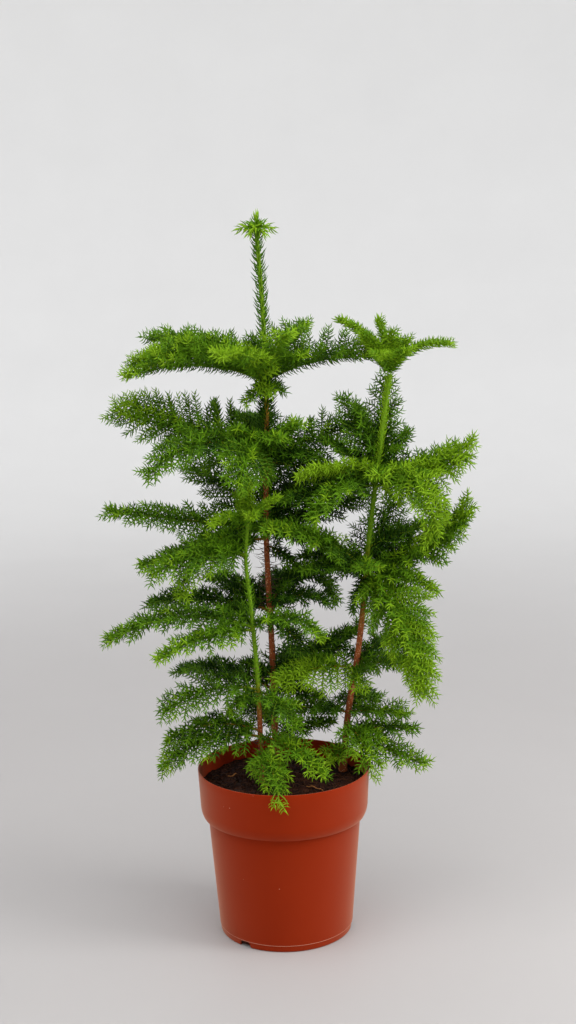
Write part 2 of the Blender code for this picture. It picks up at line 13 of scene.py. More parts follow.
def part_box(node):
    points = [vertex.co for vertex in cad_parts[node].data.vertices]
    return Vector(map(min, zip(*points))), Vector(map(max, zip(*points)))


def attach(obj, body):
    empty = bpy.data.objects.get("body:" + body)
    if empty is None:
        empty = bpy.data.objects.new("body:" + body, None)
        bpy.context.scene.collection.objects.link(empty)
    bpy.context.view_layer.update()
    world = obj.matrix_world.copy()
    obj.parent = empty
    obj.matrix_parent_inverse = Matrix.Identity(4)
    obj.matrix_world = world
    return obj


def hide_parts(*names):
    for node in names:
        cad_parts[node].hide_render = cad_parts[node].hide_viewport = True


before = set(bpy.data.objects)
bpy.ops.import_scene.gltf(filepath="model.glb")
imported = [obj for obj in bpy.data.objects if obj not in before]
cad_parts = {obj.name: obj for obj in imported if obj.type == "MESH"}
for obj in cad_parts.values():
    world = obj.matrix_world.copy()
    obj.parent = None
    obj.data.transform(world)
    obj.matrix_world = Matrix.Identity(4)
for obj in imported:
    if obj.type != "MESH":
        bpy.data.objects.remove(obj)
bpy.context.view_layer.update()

bl_info = {
    "name": "Potted Norfolk Island pine",
    "version": (1, 0, 0),
    "blender": (4, 5, 0),
    "location": "3D View > Sidebar > Pine",
    "description": "Builds a potted Norfolk Island pine with its needles, bark, peat and nursery pot",
    "category": "Object",
}

POT_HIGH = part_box("pot")[1]
SOIL_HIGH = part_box("soil")[1]
UP = np.array([0.0, 0.0, 1.0])
GOLDEN_ANGLE = math.radians(137.508)
PIECE_TRIANGLES = 190000    # a joined piece of needles is split before it passes this


def rows(kind, *values):
    """Rows of a table as named tuples."""
    return tuple(kind(*row) for row in values)


# The pot's profile, as in the solid but for the collar, whose lower edge is 10 mm higher
COLLAR_RADIUS, COLLAR_LOW = 0.1312, 0.2080      # where the collar begins to round inwards
BODY_TOP_RADIUS, BODY_TOP = 0.1198, 0.1894      # where the body meets the collar's underside
COLLAR_BEND = 38            # the collar's rounding ends this many degrees short of level
PARTING_LINE, PARTING_STEP = 0.0105, 0.0005
LIP = 0.0009
FOOT_ROUNDING = 0.0025
FLOOR_THICKNESS = 0.0030
POT_CREASE = 30
NOTCHES = (232.0, 352.0, 112.0)
NOTCH_DEPTH = 0.013
NOTCH_SECTION = ((-0.0115, -0.0030), (0.0115, -0.0030), (0.0090, 0.0076), (0.0072, 0.0096),
                 (-0.0072, 0.0096), (-0.0090, 0.0076))     # across and up

# The peat inside the pot: radius and height of its sides from the edge of its top to its underside
PEAT_TOP = SOIL_HIGH.z - 0.0022
PEAT_EDGE = SOIL_HIGH.x - 0.0012
PEAT_SIDES = ((PEAT_EDGE - 0.0012, 0.2090), (0.1165, 0.1860), (0.1012, 0.0034))
COVER_LOW, COVER_MARGIN = 0.230, 0.006          # the least height and the bare edge of the crumbs' surface
ABOVE_PEAT = 0.26           # a height from which to look down on the peat

# Stems, as in the solids: knots are height, x and y of the middle line
Stem = namedtuple("Stem", "name foot_radius tip_radius knots green_from ripening")
CLEAR = 0.0003
ROOT_FLARE = 0.0018
FLARE_HEIGHT = 0.0120
FOOT = SOIL_HIGH.z + CLEAR
STEMS = (
    Stem("tall", 0.0050, 0.0032, (
        (FOOT, -0.0125, 0.055), (0.430, -0.0150, 0.055), (0.620, -0.0205, 0.055),
        (0.850, -0.0160, 0.055), (0.970, -0.0190, 0.055), (1.092, -0.0262, 0.055)), 0.830, 0.14),
    Stem("leaning", 0.0054, 0.0028, (
        (FOOT, 0.0945, 0.045), (0.336, 0.1040, 0.045), (0.430, 0.1198, 0.045),
        (0.645, 0.1430, 0.045), (0.872, 0.1730, 0.045)), 0.540, 0.16),
    Stem("short", 0.0043, 0.0024, (
        (FOOT, -0.0335, -0.010), (0.430, -0.0388, -0.010), (0.530, -0.0460, -0.010),
        (0.600, -0.0515, -0.010), (0.655, -0.0465, -0.010)), 0.375, 0.07),
)

# Boughs, one row each, as in the solids: height on the stem, azimuth, length, rise, arch, roll,
# lift, reach and droop, and how fresh and lit the green of its needles is, from 0 to 1; this last
# is partly the needles' age and partly painted light and shade: low for boughs deep in the crown
# and at the back, where shade falls
Bough = namedtuple("Bough", "name height azimuth length rise arch roll lift reach droop fresh")
BOUGHS = {
    "tall": rows(Bough,
        ("1_left", 0.863, 186, 0.218, 25, 45, -20, 42, 0.060, -15, 0.55),
        ("1_back_left", 0.866, 150, 0.222, 31, 34, 0, 25, 0.055, -10, 0.40),
        ("1_front_left", 0.862, 238, 0.135, 40, 40, 0, 20, 0.048, -10, 0.75),
        ("1_front_right", 0.866, 300, 0.095, 62, 30, 0, 20, 0.045, -10, 0.75),
        ("1_right", 0.863, 6, 0.172, 28, 36, 20, 38, 0.062, -15, 0.40),
        ("1_back_right", 0.866, 60, 0.145, 45, 30, 0, 25, 0.050, -10, 0.35),
        ("2_left", 0.746, 172, 0.250, 18, 3, -60, 8, 0.066, 0, 0.42),
        ("2_front_left", 0.739, 212, 0.228, 40, 84, -30, 10, 0.056, 10, 0.35),
        ("2_front", 0.748, 252, 0.150, 25, 72, -40, 0, 0.058, 25, 0.42),
        ("2_front_right", 0.744, 320, 0.085, 55, 30, 0, 20, 0.045, 0, 0.40),
        ("2_right", 0.747, 20, 0.170, 18, 8, 30, 10, 0.060, 0, 0.35),
        ("2_back", 0.744, 100, 0.185, 30, 35, 0, 15, 0.055, 0, 0.20),
        ("3_left", 0.629, 184, 0.247, 10, 3, -15, 12, 0.060, 20, 0.38),
        ("3_back_left", 0.632, 140, 0.180, 45, 36, -20, 10, 0.058, 0, 0.25),
        ("3_right", 0.631, 25, 0.185, 14, 4, 20, 12, 0.062, 0, 0.10),
        ("3_back", 0.628, 85, 0.190, 50, 40, 0, 10, 0.058, 0, 0.15),
        ("4_left", 0.501, 165, 0.203, 15, 29, -15, 12, 0.052, 10, 0.12),
        ("4_back_left", 0.494, 128, 0.160, 32, 40, 0, 10, 0.050, 0, 0.15),
        ("4_right", 0.500, 35, 0.176, 76, 160, 0, 20, 0.045, 0, 0.25),
        ("4_back", 0.496, 80, 0.190, 28, 45, 0, 10, 0.058, 10, 0.15),
        ("5_left", 0.370, 152, 0.180, 28, 50, 0, 10, 0.055, 10, 0.10),
        ("5_right", 0.376, 25, 0.184, 17, -22, 0, 10, 0.050, 10, 0.20),
        ("5_back", 0.370, 75, 0.175, 30, 50, 0, 10, 0.055, 10, 0.15),
        ("6_right", 0.292, 12, 0.095, 18, 15, 0, 10, 0.040, 10, 0.35),
        ("6_back", 0.300, 110, 0.140, 26, 40, 0, 10, 0.048, 10, 0.20),
    ),
    "leaning": rows(Bough,
        ("2_left", 0.720, 148, 0.128, 68, 12, -20, 10, 0.045, 0, 0.35),
        ("2_back", 0.718, 72, 0.155, 70, 10, 0, 10, 0.048, 0, 0.30),
        ("2_right", 0.716, 30, 0.085, 52, 10, 0, 10, 0.042, 0, 0.30),
        ("3_left", 0.711, 200, 0.130, 24, 39, 30, 5, 0.045, 20, 0.95),
        ("3_right", 0.710, 352, 0.165, 3, -38, 30, 10, 0.046, 25, 0.78),
        ("3_front_right", 0.707, 315, 0.188, 40, 158, 30, 0, 0.046, 30, 0.74),
        ("3_front_left", 0.702, 218, 0.145, 25, 90, 0, 10, 0.050, 20, 0.42),
        ("4_left", 0.565, 203, 0.195, 48, 45, -25, 10, 0.047, 35, 0.48),
        ("4_right", 0.567, 0, 0.198, 7, -54, 20, 10, 0.056, 25, 0.60),
        ("4_front_right", 0.564, 306, 0.228, -24, 55, 40, 0, 0.065, 30, 0.68),
        ("4_back", 0.562, 60, 0.148, 50, 12, 0, 10, 0.055, 10, 0.25),
        ("5_left", 0.407, 203, 0.135, 16, 36, -30, 5, 0.055, 45, 0.80),
        ("5_right", 0.405, 345, 0.092, 30, 45, 0, 10, 0.045, 20, 0.50),
        ("6_right", 0.337, 350, 0.090, 4, 13, 20, 20, 0.045, 0, 0.50),
        ("6_left", 0.335, 190, 0.130, 18, 30, 0, 10, 0.050, 10, 0.40),
        ("7_right", 0.291, 345, 0.133, -7, 16, 20, 10, 0.044, 20, 0.52),
        ("7_front_right", 0.311, 294, 0.113, 9, 86, 0, 10, 0.045, 30, 0.60),
        ("7_front_left", 0.276, 240, 0.050, 5, 30, 0, 10, 0.028, 10, 0.60),
    ),
    "short": rows(Bough,
        ("2_left", 0.605, 196, 0.152, 12, 42, -30, 10, 0.055, 40, 0.45),
        ("3_left", 0.490, 186, 0.230, 24, 54, -10, 10, 0.058, 20, 0.42),
        ("3_front_left", 0.486, 212, 0.170, 9, 32, -10, 0, 0.038, 15, 0.50),
        ("3_right", 0.490, 350, 0.122, 42, 100, 10, 5, 0.036, 20, 0.42),
        ("4_left", 0.391, 193, 0.155, 18, 55, -20, 10, 0.058, 25, 0.40),
        ("4_right", 0.388, 325, 0.085, -10, 50, 0, 10, 0.042, 25, 0.40),
        ("5_left", 0.315, 190, 0.165, 16, 60, -20, 10, 0.058, 30, 0.42),
        ("5_right", 0.315, 322, 0.130, 4, 45, 0, 10, 0.042, 15, 0.55),
        ("6_front", 0.283, 282, 0.150, 26, 76, 0, 0, 0.042, 60, 0.55),
    ),
}
# Short inner shoots that crowd a whorl, one row each with the same values; their masses stand for them
INNER = {
    "tall": rows(Bough,
        ("1_low_left", 0.858, 204, 0.046, -24, 34, 0, 0, 0.024, 0, 0.45),
        ("1_low_right", 0.858, 345, 0.030, -2, 50, 0, 0, 0.024, 0, 0.25),
        ("1_low_front", 0.860, 276, 0.034, -6, 50, 0, 0, 0.020, 0, 0.60),
        ("1_inner_back", 0.868, 112, 0.080, 58, 20, 0, 0, 0.034, 0, 0.25),
        ("1_inner_front", 0.865, 262, 0.066, 52, 30, 0, 0, 0.030, -10, 0.70),
        ("1_inner_right", 0.866, 330, 0.078, 44, 30, 0, 10, 0.032, -10, 0.55),
        ("1_inner_left", 0.866, 214, 0.082, 44, 30, 0, 10, 0.034, -10, 0.60),
        ("2_inner_front", 0.752, 284, 0.076, 44, 40, 0, 0, 0.034, 0, 0.38),
        ("2_inner_left", 0.750, 225, 0.080, 50, 30, 0, 0, 0.034, 0, 0.38),
        ("2_inner_right", 0.748, 352, 0.088, 14, 40, 0, 0, 0.036, 0, 0.20),
        ("2_low_right", 0.736, 12, 0.160, -8, 10, -40, 0, 0.056, 50, 0.10),
        ("2_comb_left", 0.750, 172, 0.236, 21, 3, -75, 0, 0.062, 0, 0.55),
        ("3_inner_front", 0.634, 268, 0.062, 24, 50, 0, 0, 0.032, 0, 0.30),
        ("3_inner_right", 0.632, 335, 0.080, 22, 50, 0, 0, 0.036, 0, 0.12),
        ("3_inner_left", 0.632, 222, 0.085, 24, 50, 0, 0, 0.038, 0, 0.32),
        ("1_mid_left", 0.866, 168, 0.192, 33, 46, -10, 35, 0.055, -10, 0.50),
        ("1_outer_left", 0.864, 181, 0.208, 30, 47, -10, 50, 0.052, -15, 0.58),
        ("3_low_left", 0.616, 192, 0.200, -2, 14, -10, 5, 0.054, 25, 0.40),
        ("3_back_right", 0.634, 55, 0.180, 32, 20, 0, 5, 0.060, 0, 0.10),
        ("3_under_right", 0.604, 345, 0.060, -16, 40, 0, 0, 0.034, 20, 0.15),
        ("3_low_right", 0.624, 352, 0.110, 6, 40, 0, 0, 0.050, 10, 0.18),
        ("4_inner_right", 0.504, 350, 0.100, 46, 80, 0, 0, 0.050, 0, 0.10),
        ("4_low_right", 0.488, 338, 0.075, -24, 40, 0, 0, 0.042, 0, 0.12),
        ("5_high_right", 0.380, 20, 0.150, 36, 10, 0, 0, 0.045, 10, 0.15),
        ("5_up_left", 0.396, 190, 0.052, 40, 30, 0, 0, 0.032, 0, 0.12),
        ("5_up_right", 0.400, 350, 0.058, 36, 30, 0, 0, 0.032, 0, 0.12),
        ("5_inner_right", 0.368, 345, 0.075, 20, 50, 0, 0, 0.036, 0, 0.30),
    ),
    "leaning": rows(Bough,
        ("3_inner_front", 0.712, 272, 0.060, 38, 60, 0, 0, 0.030, 0, 0.60),
        ("3_inner_right", 0.706, 350, 0.070, 26, 60, 0, 0, 0.034, 10, 0.45),
        ("2_low_left", 0.716, 165, 0.105, 42, 20, 0, 0, 0.046, 0, 0.30),
        ("2_high_right", 0.722, 66, 0.105, 66, 10, 0, 10, 0.032, 0, 0.35),
        ("2_top_left", 0.742, 165, 0.088, 66, 0, 0, 10, 0.034, 0, 0.30),
        ("3_low_left", 0.698, 188, 0.150, 4, 22, 0, 0, 0.048, 10, 0.20),
        ("3_back_right", 0.712, 18, 0.140, 6, -20, 20, 0, 0.044, 0, 0.40),
        ("3_blunt_right", 0.707, 354, 0.150, -4, -37, 30, 0, 0.052, 30, 0.76),
        ("3_hang_right", 0.706, 334, 0.150, 30, 122, 30, 0, 0.050, 40, 0.62),
        ("4_back_right", 0.564, 40, 0.140, 40, 30, 0, 0, 0.052, 0, 0.25),
        ("4_back_left", 0.558, 140, 0.130, 26, 40, 0, 0, 0.050, 0, 0.20),
        ("4_low_right", 0.564, 338, 0.118, 4, 34, 20, 0, 0.036, 15, 0.60),
        ("4_fill_right", 0.600, 20, 0.070, 30, 20, 0, 0, 0.045, 10, 0.20),
        ("4_mid_left", 0.566, 192, 0.100, 14, 20, 0, 0, 0.044, 10, 0.25),
        ("4_wide_right", 0.566, 356, 0.186, 3, -52, 20, 0, 0.052, 25, 0.52),
        ("4_hang_front", 0.560, 311, 0.205, -32, 48, 40, 0, 0.056, 35, 0.66),
        ("4_hang_outer", 0.562, 324, 0.190, -26, 56, 40, 0, 0.050, 35, 0.66),
        ("4_hang_left", 0.560, 206, 0.066, -60, 20, 0, 0, 0.018, 10, 0.15),
        ("4_hang_right", 0.560, 350, 0.050, -66, 12, 0, 0, 0.016, 10, 0.20),
        ("4_inner_front", 0.566, 268, 0.070, 40, 60, 0, 0, 0.032, 10, 0.42),
        ("4_inner_left", 0.560, 176, 0.088, 30, 50, 0, 0, 0.038, 10, 0.25),
        ("5_inner_front", 0.405, 275, 0.060, 10, 50, 0, 0, 0.030, 20, 0.60),
        ("5_inner_back", 0.407, 60, 0.120, 28, 40, 0, 0, 0.044, 10, 0.20),
        ("7_high_right", 0.302, 352, 0.110, 14, 20, 0, 0, 0.044, 10, 0.40),
        ("6_inner_back", 0.335, 70, 0.110, 20, 40, 0, 0, 0.044, 10, 0.20),
    ),
    "short": rows(Bough,
        ("2_inner_left", 0.610, 160, 0.080, 30, 40, 0, 0, 0.036, 10, 0.40),
        ("2_low_left", 0.602, 200, 0.140, 34, 124, -50, 0, 0.040, 20, 0.48),
        ("3_inner_back", 0.490, 120, 0.085, 30, 40, 0, 0, 0.038, 10, 0.30),
        ("4_inner_left", 0.388, 215, 0.060, 0, 50, 0, 0, 0.030, 20, 0.40),
        ("5_high_left", 0.325, 188, 0.150, 25, 56, -20, 0, 0.045, 25, 0.38),
    ),
}
FIRST_TWIG, LAST_TWIG = 0.06, 0.985             # where twigs start and stop, as shares of a limb's length
FORWARD_AT_ROOT, FORWARD_AT_TIP = 76.0, 46.0    # degrees between a twig and its limb
TOP_ROW = 0.5               # twigs that stand up from a limb, as a share of those at its sides
LIMB_STEPS, TWIG_STEPS = 20, 4
LIMB_TIP_RADIUS = 0.0007
TWIG_RADII = (0.0011, 0.0007)
TWIG_ROOM = 0.004           # a twig stops this far short of the pot, the peat and the stems
YOUNG_AGE = 0.04            # of a twig's bark
LIMB_TIP, TWIG_TIP = 0.016, 0.010               # lengths of their fresher ends
CROWN_RADII = (0.0014, 0.0006)
CROWN_TWIG_SPACING = 0.007
BUD_NEEDLES = 0.006         # how far the needles of a crown without twigs reach on past its wood
WILD = {"twig": 0.09, "stem": 0.14, "withered": 0.40}           # how far needles stray from their lean

# Dry twigs on the peat: x, y, heading and length
FALLEN = ((-0.0254, -0.0320, 272, 0.048), (-0.0045, 0.0030, 300, 0.016), (-0.0820, 0.0260, 20, 0.015),
          (0.0480, -0.0420, 140, 0.034), (0.0660, 0.0720, 75, 0.030), (-0.0480, 0.0830, 160, 0.028))

# Crowns, as in the solids: a leader and the young shoots round it
Shoot = namedtuple("Shoot", "azimuth rise arch length")
Crown = namedtuple("Crown", "leader shoots reach")
NECK = 0.004
CROWNS = {
    "tall": Crown(Shoot(120, 86, 0, 0.020), (
        Shoot(186, 14, 46, 0.034), Shoot(232, -12, 40, 0.026), Shoot(262, 6, 20, 0.024),
        Shoot(318, -8, 50, 0.027), Shoot(352, 16, 50, 0.032), Shoot(60, 14, 40, 0.030),
        Shoot(128, 14, 40, 0.030)), 0.0),
    "leaning": Crown(Shoot(188, 80, 6, 0.080), (
        Shoot(183, 70, 50, 0.115), Shoot(358, 57, 70, 0.108), Shoot(255, 39, 40, 0.095),
        Shoot(75, 50, 30, 0.075), Shoot(300, 48, 30, 0.060), Shoot(150, 55, 30, 0.066),
        Shoot(222, 54, 20, 0.084), Shoot(272, 66, 10, 0.072), Shoot(202, 64, 30, 0.066),
        Shoot(342, 66, 20, 0.056)), 0.024),
    "short": Crown(Shoot(60, 84, 0, 0.058), (
        Shoot(218, 30, 60, 0.072), Shoot(342, 42, 10, 0.060), Shoot(120, 48, 0, 0.046),
        Shoot(280, 35, 40, 0.045)), 0.018),
}

# Where a stem is clothed: from one height to another, with the pitch, length, width and lean of the
# needles there, and their kind
Clothing = namedtuple("Clothing", "stem low high pitch length width lean kind")
CLOTHING = rows(Clothing,
    ("tall", 0.872, 1.088, 0.0009, 0.0185, 0.0024, 46, "leaf"),
    ("tall", 0.640, 0.872, 0.0007, 0.0175, 0.0022, 52, "leaf"),
    ("tall", 0.775, 0.864, 0.0006, 0.0230, 0.0024, 60, "shade"),
    ("leaning", 0.715, 0.868, 0.0009, 0.0118, 0.0022, 46, "bud"),
    ("leaning", 0.500, 0.715, 0.0009, 0.0125, 0.0022, 50, "fresh"),
    ("short", 0.380, 0.650, 0.0012, 0.0120, 0.0020, 50, "fresh"),
    ("tall", 0.500, 0.604, 0.0016, 0.0250, 0.0014, 86, "withered"),
    ("tall", 0.250, 0.700, 0.0042, 0.0125, 0.0018, 70, "withered"),
    ("leaning", 0.248, 0.300, 0.0024, 0.0160, 0.0018, 70, "withered"),
    ("leaning", 0.300, 0.540, 0.0045, 0.0130, 0.0018, 66, "withered"),
    ("short", 0.248, 0.312, 0.0024, 0.0150, 0.0018, 70, "withered"),
    ("short", 0.312, 0.430, 0.0045, 0.0120, 0.0018, 66, "withered"),
)

# A line that needles or bark follow, with values at its points: the radius of its wood, the size of its
# needles as a share, their lean from it in degrees, and the age of its bark from 0 (green) to 1
Line = namedtuple("Line", "points girth size lean age")
# Tones of green from dark to light; which one needles get is partly their age and partly painted light and
# shade
TONES = ("shade", "leaf", "fresh", "bud")


def linear(hex_color):
    """Linear colour of an sRGB hex value."""
    values = [int(hex_color[i:i + 2], 16) / 255 for i in (1, 3, 5)]
    return tuple(v / 12.92 if v <= 0.04045 else ((v + 0.055) / 1.055) ** 2.4 for v in values)


def color_property(name, description, hex_color):
    return FloatVectorProperty(name=name, description=description, subtype="COLOR", size=3,
                               min=0.0, max=1.0, default=linear(hex_color))


def number_property(name, description, value, **kind):
    return FloatProperty(name=name, description=description, default=value, min=0.0, **kind)


def length_property(name, description, value):
    return number_property(name, description, value, unit="LENGTH", subtype="DISTANCE", precision=4)


class PinePot(bpy.types.PropertyGroup):
    height: length_property("Height", "Height of the pot", POT_HIGH.z)
    rim_radius: length_property("Rim radius", "Outer radius at the rim", POT_HIGH.x)
    base_radius: length_property("Base radius", "Outer radius at the foot", 0.1045)
    wall: length_property("Wall", "Thickness of the plastic", 0.0020)
    plastic: color_property("Plastic", "Colour of the plastic", "#8b2100")
    plastic_light: color_property("Clouded plastic", "Colour where the plastic is clouded", "#922602")
    bloom: color_property("Bloom", "Colour of the pale bloom that shows at the pot's sides", "#ffc8a0")
    dust: color_property("Dust", "Colour of dust specks and of the parting line", "#d9a48c")


class PineSoil(bpy.types.PropertyGroup):
    lump: length_property("Lumps", "Height of the lumps on top", 0.0035)
    crumb: length_property("Crumbs", "Size of the largest crumbs", 0.0050)
    crumb_density: number_property("Crumb density", "Crumbs on a square metre", 26000.0)
    fibre: length_property("Fibres", "Length of the longest fibres", 0.0150)
    fibre_density: number_property("Fibre density", "Fibres on a square metre", 14000.0)
    seed: IntProperty(name="Seed", description="Seed of the crumbs and fibres", default=4)
    peat: color_property("Peat", "Colour of moist peat", "#200d06")
    peat_light: color_property("Dry peat", "Colour of drier crumbs", "#4a2716")
    fibre_color: color_property("Fibre colour", "Colour of straw and root fibres", "#6f4c32")
    litter_color: color_property("Litter", "Colour of the dry twigs on the peat", "#c8874e")


class PineStems(bpy.types.PropertyGroup):
    ring_spacing: length_property("Ring spacing", "Distance between the rings of a stem", 0.0019)
    peg: length_property("Leaf pegs", "Height of the pegs that old needles leave", 0.0005)
    peg_spacing: length_property("Peg spacing", "Distance along the stem between pegs", 0.0022)
    bark: color_property("Old bark", "Colour of the oldest bark", "#9a4f2a")
    bark_fleck: color_property("Bark flecks", "Colour of flecks on old bark", "#d6a176")
    half_ripe: color_property("Half-ripe bark", "Colour where green turns to brown", "#957a1c")
    green: color_property("Young bark", "Colour of green shoots", "#6b9216")


class PineFoliage(bpy.types.PropertyGroup):
    twig_spacing: length_property("Twig spacing", "Distance between pairs of twigs", 0.0125)
    needle_pitch: length_property("Needle pitch", "Distance along a twig from needle to needle", 0.00126)
    needle_length: length_property("Needle length", "Length of a full needle", 0.0134)
    needle_width: length_property("Needle width", "Width of a full needle", 0.0024)
    curl: number_property("Curl", "How far a needle bows, as a share of its length", 0.09, max=0.4)
    seed: IntProperty(name="Seed", description="Seed of twigs and needles", default=7)
    # The tones from shade to bud are partly the needles' age and partly painted light and shade: darker
    # greens go to needles deep inside and at the back, where shade falls, and lighter ones to needles
    # outside and in front
    shade: color_property("Shade needles", "Colour of the oldest needles", "#28480a")
    leaf: color_property("Leaf needles", "Colour of ripe needles", "#446a0e")
    fresh: color_property("Fresh needles", "Colour of this year's needles", "#5a8412")
    bud: color_property("Bud needles", "Colour of the newest needles", "#7fa51a")
    withered: color_property("Withered needles", "Colour of dry needles on old bark", "#6a5748")


class PineStage(bpy.types.PropertyGroup):
    floor_color: color_property("Floor", "Colour of the floor round the pot", "#b5b2b0")
    wall_color: color_property("Wall", "Colour of the curved wall that ends the floor", "#f0f0ee")
    air_color: color_property("Surroundings", "Colour of the soft light all round", "#dedee2")
    air: number_property("Surroundings strength", "Strength of the soft light all round", 1.28)
    top_light: number_property("Top light", "Power of the light above", 25.0, unit="POWER")
    left_light: number_property("Left light", "Power of the light at the left", 5.0, unit="POWER")
    right_light: number_property("Right light", "Power of the light at the right", 37.0, unit="POWER")


def fill(node, inputs):
    """Gives a node's inputs their values, or links from sockets and from the first outputs of nodes."""
    for name, value in inputs.items():
        if isinstance(value, bpy.types.Node):
            value = value.outputs[0]
        if isinstance(value, bpy.types.NodeSocket):
            node.id_data.links.new(value, node.inputs[name])
        else:
            node.inputs[name].default_value = value


def add(tree, kind, inputs, **settings):
    """Adds a node with its settings, values and links."""
    node = tree.nodes.new(kind)
    for name, value in settings.items():
        setattr(node, name, value)
    fill(node, inputs)
    return node


def drifting(tree, place, color, scale, detail, shares):
    """A colour that turns a little darker and lighter from place to place."""
    drift = add(tree, "ShaderNodeTexNoise", {"Vector": place, "Scale": scale, "Detail": detail})
    share = add(tree, "ShaderNodeMapRange", {"Value": drift, "To Min": shares[0], "To Max": shares[1]})
    return add(tree, "ShaderNodeVectorMath", {0: color, "Scale": share}, operation="SCALE")


def surface(name):
    """A new material, its tree and shader, and the place on the object."""
    mat = bpy.data.materials.new(name)
    mat.use_nodes = True
    tree = mat.node_tree
    return mat, tree, tree.nodes["Principled BSDF"], add(tree, "ShaderNodeTexCoord", {}).outputs["Object"]


def polypropylene(pot):
    """Moulded polypropylene: dyed through, satin with a pale bloom, a parting line and specks of dust."""
    mat, tree, shader, place = surface("moulded_polypropylene")
    # Clouds about 70 mm across; one in thirty cells of 9 mm holds a speck 1.6 mm wide, which is coarser
    # than real dust, so that it shows, and so is the 1 mm grain
    cloud = add(tree, "ShaderNodeTexNoise", {"Vector": place, "Scale": 14.0, "Detail": 4.0})
    body = add(tree, "ShaderNodeMix", {0: cloud, 6: (*pot.plastic, 1), 7: (*pot.plastic_light, 1)},
               data_type="RGBA")
    cells = add(tree, "ShaderNodeTexVoronoi", {"Vector": place, "Scale": 110.0})
    near = add(tree, "ShaderNodeMath", {0: cells, 1: 0.09}, operation="LESS_THAN")
    chance = add(tree, "ShaderNodeSeparateColor", {0: cells.outputs["Color"]})
    rare = add(tree, "ShaderNodeMath", {0: chance, 1: 0.965}, operation="GREATER_THAN")
    speck = add(tree, "ShaderNodeMath", {0: near, 1: rare}, operation="MULTIPLY")
    height = add(tree, "ShaderNodeSeparateXYZ", {0: place}).outputs["Z"]
    line = add(tree, "ShaderNodeMath", {0: height, 1: 0.0108, 2: 0.00045}, operation="COMPARE")
    pale = add(tree, "ShaderNodeMath", {0: speck, 1: line}, operation="MAXIMUM")
    share = add(tree, "ShaderNodeMath", {0: pale, 1: 0.6}, operation="MULTIPLY")
    base = add(tree, "ShaderNodeMix", {0: share, 6: body.outputs[2], 7: (*pot.dust, 1)}, data_type="RGBA")
    satin = add(tree, "ShaderNodeMapRange", {"Value": cloud, "To Min": 0.28, "To Max": 0.38})
    grain = add(tree, "ShaderNodeTexNoise", {"Vector": place, "Scale": 900.0, "Detail": 2.0})
    relief = add(tree, "ShaderNodeBump", {"Height": grain, "Strength": 0.08, "Distance": 0.0004})
    fill(shader, {"Base Color": base.outputs[2], "Roughness": satin, "Normal": relief,
                  "Specular IOR Level": 0.03, "Sheen Weight": 0.52, "Sheen Roughness": 0.45,
                  "Sheen Tint": (*pot.bloom, 1)})
    return mat


def peat(soil):
    """Moist peat: matt dark crumbs, drier and browner in patches."""
    mat, tree, shader, place = surface("moist_peat")
    # Drier patches about 17 mm across, and a grain of 2.4 mm
    patches = add(tree, "ShaderNodeTexNoise",
                  {"Vector": place, "Scale": 60.0, "Detail": 6.0, "Roughness": 0.7})
    dry = add(tree, "ShaderNodeMapRange", {"Value": patches, "From Min": 0.45, "From Max": 0.70})
    base = add(tree, "ShaderNodeMix", {0: dry, 6: (*soil.peat, 1), 7: (*soil.peat_light, 1)},
               data_type="RGBA")
    grain = add(tree, "ShaderNodeTexNoise", {"Vector": place, "Scale": 420.0, "Detail": 4.0})
    relief = add(tree, "ShaderNodeBump", {"Height": grain, "Strength": 0.6, "Distance": 0.0012})
    fill(shader, {"Base Color": base.outputs[2], "Normal": relief, "Roughness": 0.95,
                  "Specular IOR Level": 0.2})
    return mat


def straw(name, color, dark=None):
    """Dry plant fibre: matt, streaked darker in places."""
    mat, tree, shader, place = surface(name)
    dark = dark or tuple(0.5 * c for c in color)        # its streaks are about 7 mm apart
    streaks = add(tree, "ShaderNodeTexNoise", {"Vector": place, "Scale": 150.0, "Detail": 2.0})
    base = add(tree, "ShaderNodeMix", {0: streaks, 6: (*dark, 1), 7: (*color, 1)}, data_type="RGBA")
    fill(shader, {"Base Color": base.outputs[2], "Roughness": 0.85, "Specular IOR Level": 0.1})
    return mat


def bark(stems):
    """Young conifer bark: smooth green shoots that ripen through ochre to flecked reddish brown."""
    mat, tree, shader, place = surface("young_conifer_bark")
    # A mottle of 4.5 mm, and flecks up to 2.4 mm wide on cells of 3.7 mm
    age = add(tree, "ShaderNodeAttribute", {}, attribute_name="age").outputs["Fac"]
    mottle = add(tree, "ShaderNodeTexNoise", {"Vector": place, "Scale": 220.0, "Detail": 4.0})
    uneven = add(tree, "ShaderNodeMath", {0: mottle, 1: 0.5}, operation="SUBTRACT")
    ripe = add(tree, "ShaderNodeMath", {0: uneven, 1: 0.35, 2: age}, operation="MULTIPLY_ADD")
    early = add(tree, "ShaderNodeMapRange", {"Value": ripe, "From Max": 0.5})
    late = add(tree, "ShaderNodeMapRange", {"Value": ripe, "From Min": 0.5})
    young = add(tree, "ShaderNodeMix", {0: early, 6: (*stems.green, 1), 7: (*stems.half_ripe, 1)},
                data_type="RGBA")
    aged = add(tree, "ShaderNodeMix", {0: late, 6: young.outputs[2], 7: (*stems.bark, 1)},
               data_type="RGBA")
    cells = add(tree, "ShaderNodeTexVoronoi", {"Vector": place, "Scale": 270.0})
    near = add(tree, "ShaderNodeMath", {0: cells, 1: 0.32}, operation="LESS_THAN")
    old = add(tree, "ShaderNodeMath", {0: near, 1: late}, operation="MULTIPLY")
    fleck = add(tree, "ShaderNodeMath", {0: old, 1: 0.65}, operation="MULTIPLY")
    base = add(tree, "ShaderNodeMix", {0: fleck, 6: aged.outputs[2], 7: (*stems.bark_fleck, 1)},
               data_type="RGBA")
    relief = add(tree, "ShaderNodeBump", {"Height": mottle, "Strength": 0.5, "Distance": 0.0006})
    fill(shader, {"Base Color": base.outputs[2], "Normal": relief, "Roughness": 0.7,
                  "Specular IOR Level": 0.15})
    return mat


